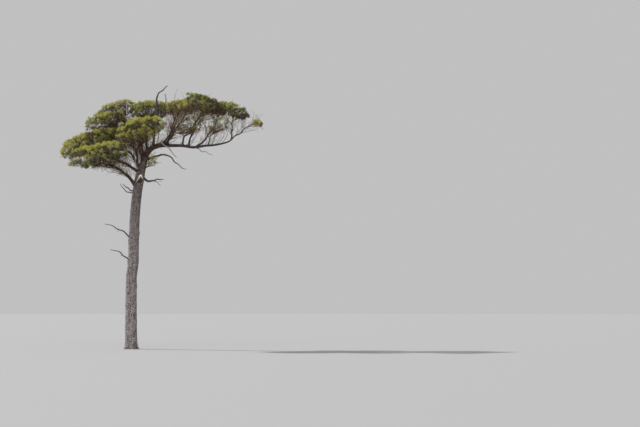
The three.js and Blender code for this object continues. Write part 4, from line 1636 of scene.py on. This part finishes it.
@dataclass
class Crown:
    """The pads of needles: the stem of each carries arms, each arm a boss, which is a dome of tufts."""

    growth: Growth = field(default_factory=Growth)
    source_tiers: tuple[float, ...] = (0.72, 0.72, -0.4)
    tip_area: float = 0.44
    fewest_arms: int = 4
    arm_radius: float = 0.008
    arm_steps: int = 4
    arm_miss: float = 0.1
    overhang: float = 1.03
    small_overhang: float = 2.5
    small_rise: float = 0.1
    boss_reach: Pair = (0.16, 0.26)
    boss_room: float = 0.8
    boss_depth: float = 0.78
    boss_spacing: float = 0.8
    boss_contrast: float = 0.6
    faces_out: float = 0.85
    faces_up: float = 0.45
    light_of_height: float = 0.8
    light_of_sun: float = 0.75
    dark_of_valleys: float = 0.5
    tufts_for_area: float = 390.0
    lobe_depth: float = 0.22
    lobe_length: float = 0.85
    inner_room: Pair = (0.28, 0.75)
    inner_spacing: float = 0.56
    inner_reach: float = 0.34
    inner_tufts: int = 24
    inner_light: float = -1.6
    dead_share: float = 0.03
    dead_light: float = -9.0
    dull_light: float = -0.3
    light_of_facing: float = 0.9
    light_wander: Pair = (-0.6, 0.6)
    small_light: Pair = (-0.6, 0.9)
    tries: int = 12000
    shoot_radius: float = 0.0055
    shoot_share: Pair = (0.85, 1.1)
    shoot_length: float = 0.085
    bare_radius: float = 0.007
    stalk_length: float = 0.05
    stalk_in_tuft: float = 0.04
    stalk_radii: Pair = (0.0045, 0.003)
    tuft_length: float = 0.15
    tuft_size: Pair = (0.8, 1.12)
    small_size: Pair = (0.6, 0.85)
    spread_at_foot: float = 1.1
    spread_at_tip: float = 0.35
    needles: int = 15
    boss_fringe: Fringe = Fringe(3, (0.15, 0.42), 0.15)
    inner_fringe: Fringe = Fringe(6, (0.22, 0.5), 0.3)
    feeder_fringe: Fringe = Fringe(7, (0.18, 0.5), 0.42)
    feeders_for_area: float = 2.0
    more_for_open: float = 3.4
    arms: WoodLines = field(default_factory=WoodLines)
    twigs: WoodLines = field(default_factory=WoodLines)
    stalks: WoodLines = field(default_factory=WoodLines)
    bare: WoodLines = field(default_factory=WoodLines)
    tufts: list[Tuft] = field(default_factory=list)

    # the sun that the painted light of the tints follows
    SUN = Vector((-0.72, -0.12, 0.68))
    RIPPLES = (21, 17, 13)
    SEEDS_OF_A_PAD = 1000
    ROOM_SEED = 500
    BOSS_SEED = 5000
    INNER_SEED = 7000
    FEEDER_SEED = 8000

    def build(self, limbs: dict[str, Limb]) -> None:
        """Grows and dresses all pads.

        Args:
            limbs: Each limb by name.
        """
        for pad in PADS.values():
            self._grow_pad(pad, limbs[pad.bough])
        self._grow_inner_wood(limbs)
        self._grow_feeders(limbs)
        twig = twig_rule()
        for lines, wood, name, sides in (
            (self.arms, Wood.ARM, "arms_of_pads", 5),
            (self.twigs, Wood.SHOOT, "shoots_of_pads", 3),
            (self.stalks, Wood.SHOOT, "stalks_of_tufts", 3),
            (self.bare, Wood.TWIG, "bare_twigs", 3),
        ):
            piece = lines.piece(name)
            twig.run(piece, sides=sides, material=wood.value.material())
            dress(piece, PADS)
        self._build_needles()

    def _grow_pad(self, pad: PadPlan, bough: Limb) -> None:
        """Grows all of a pad: its stem, the source's arms, finer arms, and the boss at each arm's end.

        Args:
            pad: The pad.
            bough: The bough that carries it.
        """
        stem_steps = 7
        stem = self.growth.stem_of(pad, bough)
        self.arms.add(stem, stem_steps)
        wood = [stem]
        first_seed = pad.seed * self.SEEDS_OF_A_PAD
        count = max(round(pad.area / self.tip_area / pad.loose), self.fewest_arms)
        grown = []
        for index in range(count):
            aim = self.growth.tip_of(pad, index, count, self.source_tiers, Dice(first_seed + index))
            arm = self._grow_arm(pad, aim, wood)
            if arm:
                grown.append((arm, self._boss_at(pad, arm.line.tip)))
        for boss in self._bosses_of(pad, [boss for _, boss in grown]):
            arm = self._grow_arm(pad, boss.centre, wood)
            if arm and (arm.line.tip - boss.centre).length < self.arm_miss:
                grown.append((arm, boss))
        for order, (arm, boss) in enumerate(grown):
            self._grow_boss(pad, arm, boss, Dice(first_seed + self.BOSS_SEED + order))

    def _grow_arm(self, pad: PadPlan, aim: Vector, wood: list[Twig]) -> Twig | None:
        """Grows one arm as near to its aim as the pad's own space lets it.

        Args:
            pad: The pad.
            aim: Where the arm should end.
            wood: The pad's twigs so far, which the arm joins.

        Returns:
            The arm, or nothing where there is no room for it.
        """
        ways_out, shares_checked = (1, 0.92, 0.82, 0.75), (0.4, 0.55, 0.7, 0.85, 1)
        for way in ways_out:
            tip = Vector(pad.centre).lerp(aim, way)
            free = (fork for twig in wood for fork in twig.forks if not fork.taken)
            fork = min(free, key=lambda f: f.cost(tip))
            arm = self.growth.twig_to(tip, fork, self.arm_radius)
            places = np.array([arm.line.at(share) for share in shares_checked])
            if self.growth.in_own_space(pad, places).all():
                fork.taken = True
                wood.append(arm)
                self.arms.add(arm, self.arm_steps)
                return arm
        return None

    def _boss_at(self, pad: PadPlan, centre: Vector) -> Boss:
        """The boss at the end of one of the source's arms, as large as the room there lets it be.

        Args:
            pad: The pad.
            centre: The end of the arm.

        Returns:
            The boss.
        """
        room, outward = pad.room(np.array([centre]))
        reach = min(max(float(room[0]) / self.boss_room, self.boss_reach[0]), self.boss_reach[1])
        return self._boss_of(pad, centre, Vector(outward[0]), reach, 0.0)

    def _boss_of(self, pad: PadPlan, centre: Vector, outward: Vector, reach: float, sunk: float) -> Boss:
        """A boss on the surface of a pad, with as many tufts as its size asks for, and its painted light and
        shade.

        Args:
            pad: The pad.
            centre: The middle of the boss.
            outward: The way out of the pad.
            reach: How far the tufts reach from the centre.
            sunk: How deep the boss sits between its neighbours, from 0 to 1.

        Returns:
            The boss.
        """
        height = (centre.z - pad.centre[2] - pad.slope * (centre.x - pad.centre[0])) / pad.rise
        # painted light: high bosses and those facing the sun get brighter tints; painted shade darkens sunk
        # ones; the glow shifts the whole pad
        light = self.light_of_height * height + self.light_of_sun * outward.dot(self.SUN)
        light = light - self.dark_of_valleys * sunk + pad.glow
        ripple = sum(place * number for place, number in zip(centre, self.RIPPLES))
        light += self.boss_contrast * math.sin(ripple)
        facing = (outward * self.faces_out + UP * self.faces_up).normalized()
        tufts = round(self.tufts_for_area * reach**2 * pad.loose * pad.thick)
        return Boss(centre, facing, reach, tufts, light)

    def _bosses_of(self, pad: PadPlan, kept: list[Boss]) -> list[Boss]:
        """Finds room for bosses all over a pad's surface, in lobes, and for ones further in, painted dark as
        shade.

        Args:
            pad: The pad.
            kept: The bosses that the pad already has.

        Returns:
            The further bosses.
        """
        underside, surface_slack = -0.3, 0.07
        dice = Dice(pad.seed * self.SEEDS_OF_A_PAD + self.ROOM_SEED)
        throws = np.array([[dice.between(-1, 1) for _ in range(3)] for _ in range(self.tries)])
        upright = np.where(throws[:, 2] > 0, pad.rise, pad.hang)
        level = [np.full(self.tries, reach) for reach in pad.reach]
        moves = throws * np.stack([*level, upright], 1)
        moves[:, 2] += pad.slope * moves[:, 0]
        places = np.array(pad.centre) + moves
        room, outward = pad.room(places)
        own = self.growth.in_own_space(pad, places)
        waves = np.sin(TAU * moves[:, 0] / self.lobe_length + pad.seed) * np.cos(
            TAU * moves[:, 1] / self.lobe_length + 2 * pad.seed)
        found = []
        for place, far_in, out, low, own_place in zip(places, room, outward, 0.5 - 0.5 * waves, own):
            reach = dice.between(*self.boss_reach)
            wish, skirted = dice.roll(), out[2] < underside
            if not own_place or (skirted and wish > pad.skirt):
                continue
            on_surface = abs(far_in - self.boss_depth * reach - self.lobe_depth * low) < surface_slack
            far_under = far_in - self.lobe_depth * low
            inside = self.inner_room[0] < far_under < self.inner_room[1] and pad.loose == 1
            if not on_surface and not inside:
                continue
            reach = reach if on_surface else self.inner_reach
            centre = Vector(place)
            spacing = self.boss_spacing / pad.loose / pad.thick if on_surface else self.inner_spacing
            if any((centre - b.centre).length < (reach + b.reach) * spacing for b in kept + found):
                continue
            if on_surface:
                found.append(self._boss_of(pad, centre, Vector(out), reach, low))
            else:
                # painted shade: inner bosses get the darkest light, so their tints fill the pad's inside dark
                found.append(Boss(centre, UP, self.inner_reach, self.inner_tufts, self.inner_light))
        return found

    def _grow_boss(self, pad: PadPlan, arm: Twig, boss: Boss, dice: Dice) -> None:
        """Grows the shoots of a boss round the end of its arm, each with a tuft at its end and one beside it.

        Args:
            pad: The pad that the boss belongs to.
            arm: The arm.
            boss: The boss.
            dice: The boss's own random numbers.
        """
        fewest, shortest, dome, wander, hangs = 3, 0.03, 1.12, 0.3, 0.35
        last_fork, fork_spread, fork_wander = 0.98, 0.25, (0.5, 1)
        side = side_of(boss.facing)
        other = boss.facing.cross(side)
        count = max(boss.tufts // 2, fewest)
        start = dice.between(0, TAU)
        for index in range(count):
            rise = 1 - dome * (index + 0.5) / count
            out = math.sqrt(max(1 - rise * rise, 0))
            turn = start + index * GOLDEN_TURN + dice.between(-wander, wander)
            way = (side * math.cos(turn) + other * math.sin(turn)) * out + boss.facing * rise
            fork = arm.fork_at(last_fork - fork_spread * out * dice.between(*fork_wander))
            length = max(boss.reach * dice.between(*self.shoot_share) - self.tuft_length, shortest)
            shoot = self.growth.twig_to(boss.centre + way * length, fork, self.shoot_radius)
            self._grow_tufts(pad, boss, shoot, way, dice)
        if boss.facing.z < hangs or boss.light < self.dull_light:
            self._grow_bare_twigs(arm, self.boss_fringe, 1.0, dice)

    def _grow_tufts(self, pad: PadPlan, boss: Boss, shoot: Twig, way: Vector, dice: Dice) -> None:
        """Grows the two tufts of a shoot, where the pad has room for them.

        Args:
            pad: The pad.
            boss: The boss that the shoot belongs to.
            shoot: The shoot.
            way: The direction from the boss's centre to the shoot.
            dice: The boss's own random numbers.
        """
        lift, at_tip, beside = 0.2, (1.0, -0.1, 0.0), (0.6, 0.75, self.stalk_length)
        side = side_of(way)
        turn = dice.between(0, TAU)
        out = side * math.cos(turn) + way.cross(side) * math.sin(turn)
        grown = []
        for share, sideways, stalk in (at_tip, beside):
            facing = (way + out * sideways + UP * lift).normalized()
            size = dice.between(*self.tuft_size)
            root = shoot.line.at(share)
            foot = root + facing * stalk if stalk else root
            dead = dice.roll() < self.dead_share
            # painted light: tufts that face the sun get brighter tints
            sunlit = self.light_of_facing * facing.dot(self.SUN)
            light = self.dead_light if dead else boss.light + sunlit + dice.between(*self.light_wander)
            grown.append((root, Tuft(foot, facing, size, light)))
        ends = np.array([tuft.place + tuft.facing * (self.tuft_length * tuft.size) for _, tuft in grown])
        overhang = self.overhang + self.small_overhang * (self.small_rise / pad.rise) ** 2
        kept = self.growth.in_own_space(pad, ends, overhang) & in_box(ends)
        if not kept.any():
            return
        self.twigs.add(shoot, 1)
        for (root, tuft), keep in zip(grown, kept):
            if keep:
                if root != tuft.place:
                    into_tuft = tuft.place + tuft.facing * self.stalk_in_tuft
                    self.stalks.add(Twig(Bend(root, tuft.place, into_tuft), *self.stalk_radii), 1)
                self.tufts.append(tuft)

    def _grow_bare_twigs(self, branch: Twig, fringe: Fringe, scale: float, dice: Dice) -> None:
        """Grows thin twigs on a branch, some with a small tuft at the end.

        Args:
            branch: The branch.
            fringe: How many twigs it gets, and how long they are.
            scale: What their length is multiplied by.
            dice: The branch's own random numbers.
        """
        start, span, wander, lift, tuft_share = 0.3, 0.65, 1.5, 0.25, 0.9
        shortest, longest = (reach * scale for reach in fringe.reach)
        for index in range(fringe.count):
            fork = branch.fork_at(start + span * (index + dice.roll()) / fringe.count)
            out = way_out(fork.along, index * GOLDEN_TURN + dice.between(0, wander))
            way = (fork.along + out + UP * lift).normalized()
            tip = fork.root + way * dice.between(shortest, longest)
            twig = self.growth.twig_to(tip, fork, self.bare_radius)
            if not in_box(np.array([twig.line.tip])).all():
                continue
            self.bare.add(twig, 2)
            if dice.roll() < fringe.tufted:
                size, light = dice.between(*self.small_size), dice.between(*self.small_light)
                self.tufts.append(Tuft(twig.line.at(tuft_share), way, size, light))

    def _grow_inner_wood(self, limbs: dict[str, Limb]) -> None:
        """Grows the tangle under the pads: branches along the boughs, most of them bare.

        Args:
            limbs: Each limb by name.
        """
        nearness, thickest, thinnest = 1.9, 0.045, 0.01
        reaches, thinning, wander = (0.35, 1.3), (0.5, 0.9), 0.5
        forward, sideways, lift = 0.8, 0.8, 0.35
        close, wide, start_on_trunk, start_on_bough = 0.035, 0.08, 0.84, 0.16
        for order, name in enumerate(("trunk", *BOUGHS)):
            limb = limbs[name]
            spacing = close if name == "trunk" or BOUGHS[name].parent == "trunk" else wide
            start = start_on_trunk if name == "trunk" else start_on_bough
            count = round(limb.length * (1 - start) / spacing)
            dice = Dice(self.INNER_SEED + order)
            for index in range(count):
                share = start + (1 - start) * (index + dice.roll()) / count
                along = limb.line.heading(share)
                out = way_out(along, index * GOLDEN_TURN + dice.between(-wander, wander))
                reach = dice.between(*reaches)
                radius = min(limb.radius(share) * dice.between(*thinning), thickest)
                root = limb.line.at(share)
                tip = root + (along * forward + out * sideways + UP * lift).normalized() * reach
                if self._near_pads(tip) > nearness:
                    continue
                branch = self.growth.twig_to(tip, Fork(root, along, radius), thinnest)
                self.arms.add(branch, self.arm_steps)
                self._grow_bare_twigs(branch, self.inner_fringe, reach, dice)

    def _grow_feeders(self, limbs: dict[str, Limb]) -> None:
        """Grows the fans of thin crooked branches that rise from each bough to the underside of its pad.

        Args:
            limbs: Each limb by name.
        """
        tiers, forks_tried, lowest_fork = (-0.85, -0.5), 4, 0.4
        thickest, thinnest, steps = 0.026, 0.011, 6
        for order, pad in enumerate(PADS.values()):
            limb = limbs[pad.bough]
            bough = Twig(limb.line, limb.radius(0), limb.radius(1))
            dice = Dice(self.FEEDER_SEED + order)
            openness = 2 - pad.skirt - pad.loose
            count = round(pad.area * (self.feeders_for_area + self.more_for_open * openness))
            for index in range(count):
                tip = self.growth.tip_of(pad, index, count, tiers, dice)
                forks = [bough.fork_at(dice.between(lowest_fork, 1)) for _ in range(forks_tried)]
                fork = min(forks, key=lambda f: f.cost(tip))
                fork.radius = min(fork.radius, thickest)
                feeder = self.growth.twig_to(tip, fork, thinnest)
                self.arms.add(feeder, steps)
                self._grow_bare_twigs(feeder, self.feeder_fringe, min(pad.reach[0], 1.0), dice)

    @staticmethod
    def _near_pads(place: Vector) -> float:
        """The least depth of a place in any pad's space."""
        return min(float(pad.depth(np.array([place]))[0]) for pad in PADS.values())

    def _build_needles(self) -> None:
        """Deals the tufts by their light into tints of painted light and shade, and turns each tint into one
        piece.
        """
        # painted light: the tufts with the most light get the brightest tints, the least light the painted
        # shade
        ordered = sorted(self.tufts, key=lambda tuft: -tuft.light)
        log.info("%d tufts", len(ordered))
        shares = {Tint.SUNNY: 0.17, Tint.FRESH: 0.19, Tint.GREEN: 0.18, Tint.OLIVE: 0.19, Tint.SHADE: 0.24,
                  Tint.RUSTY: 0.03}
        needle = Needle().piece()
        rule = tuft_rule()
        first = 0
        for seed, (tint, share) in enumerate(shares.items()):
            last = first + round(share * len(ordered))
            dealt = ordered[first:last]
            piece = add_object(
                tint.value.name, [tuft.place for tuft in dealt], [], [],
                facing=[tuft.facing.normalized() for tuft in dealt], size=[tuft.size for tuft in dealt])
            rule.run(piece, needle=needle, needles=self.needles, shoot_length=self.shoot_length,
                     spread_at_foot=self.spread_at_foot, spread_at_tip=self.spread_at_tip, seed=seed,
                     material=tint.value.material())
            dress(piece, PADS)
            first = last
        bpy.data.objects.remove(needle)


def in_box(points: np.ndarray) -> np.ndarray:
    """Tells which points lie in the CAD box, or past it by no more than needles may.

    Args:
        points: One place a row.

    Returns:
        True or False for each point.
    """
    most_past = 0.02
    low, high = (np.array(corner) for corner in CAD_BOX)
    margin = most_past * (high - low)
    return ((points >= low - margin) & (points <= high + margin)).all(axis=1)


# The studio


def aim_object(name: str, data: bpy.types.Light | bpy.types.Camera, towards: Vector) -> bpy.types.Object:
    """Puts a light or a camera into the scene.

    Args:
        name: The object's name.
        data: The light or the camera.
        towards: The way it points.

    Returns:
        The object, which stands at the origin.
    """
    aimed = bpy.data.objects.new(name, data)
    aimed.rotation_mode = "QUATERNION"
    aimed.rotation_quaternion = towards.to_track_quat("-Z", "Y")
    bpy.context.scene.collection.objects.link(aimed)
    return aimed


@dataclass(frozen=True)
class Sun:
    """A light from far off, with its width in the sky in degrees and the way it shines."""

    name: str
    energy: float
    width: float
    towards: Spot

    def build(self) -> None:
        """Makes the light."""
        light = bpy.data.lights.new(self.name, "SUN")
        light.energy = self.energy
        light.angle = math.radians(self.width)
        aim_object(self.name, light, Vector(self.towards))


@dataclass
class Studio:
    """A plain pale floor, soft light with its brightest side at the upper left, and the photograph's view."""

    eye: Spot = (1.8, -120.0, 2.8)
    aim: Spot = (11.78, 0.0, 8.47)
    lens: float = 108.0
    sensor_width: float = 36.0
    farthest: float = 2000.0
    floor_radius: float = 420.0
    floor_sides: int = 96
    floor_roughness: float = 0.9
    floor_colour: Colour = srgb(148, 148, 148)
    sky_colour: Colour = (0.88, 0.88, 0.88)
    sky_strength: float = 0.6

    SUNS = (
        Sun("key", 4.8, 2.0, (0.72, -0.48, -0.72)),
        Sun("fill", 1.5, 60.0, (0.2, 0.9, -0.5)),
    )

    def build(self) -> None:
        """Makes the floor, the lights and the camera."""
        self._floor()
        for sun in self.SUNS:
            sun.build()
        self._sky()
        self._camera()

    def _floor(self) -> None:
        """Lays a pale disc on the ground."""
        turns = [TAU * i / self.floor_sides for i in range(self.floor_sides)]
        rim = [(self.floor_radius * math.cos(turn), self.floor_radius * math.sin(turn), 0) for turn in turns]
        floor = add_object("floor", rim, [], [list(range(self.floor_sides))])
        floor.data.materials.append(PlainFinish("floor", self.floor_colour, self.floor_roughness).material())

    def _sky(self) -> None:
        """Sets a pale sky, which lights all sides."""
        world = bpy.data.worlds.new("studio")
        world.use_nodes = True
        sky = world.node_tree.nodes["Background"]
        sky.inputs["Color"].default_value = (*self.sky_colour, 1)
        sky.inputs["Strength"].default_value = self.sky_strength
        bpy.context.scene.world = world
        bpy.context.scene.view_settings.view_transform = "Standard"

    def _camera(self) -> None:
        """Sets up the camera, far off and nearly level, with the tree where the photograph has it."""
        data = bpy.data.cameras.new("camera")
        data.lens = self.lens
        data.sensor_width = self.sensor_width
        data.clip_end = self.farthest
        camera = aim_object("camera", data, Vector(self.aim) - Vector(self.eye))
        camera.location = self.eye
        bpy.context.scene.camera = camera


def main() -> None:
    """Builds the tree and its studio."""
    logging.basicConfig(level=logging.INFO, format="%(name)s: %(message)s")
    Studio().build()
    trunk = Trunk()
    limbs = grow_limbs(trunk)
    bark = bark_rule()
    trunk.build(limbs["trunk"], bark)
    limbs["trunk"].radii = (trunk.fork_radius, trunk.top_radius)
    Boughs().build(limbs, bark)
    DeadLimbs().build(limbs, bark)
    Scar().build(trunk)
    Crown().build(limbs)


if __name__ == "__main__":
    main()
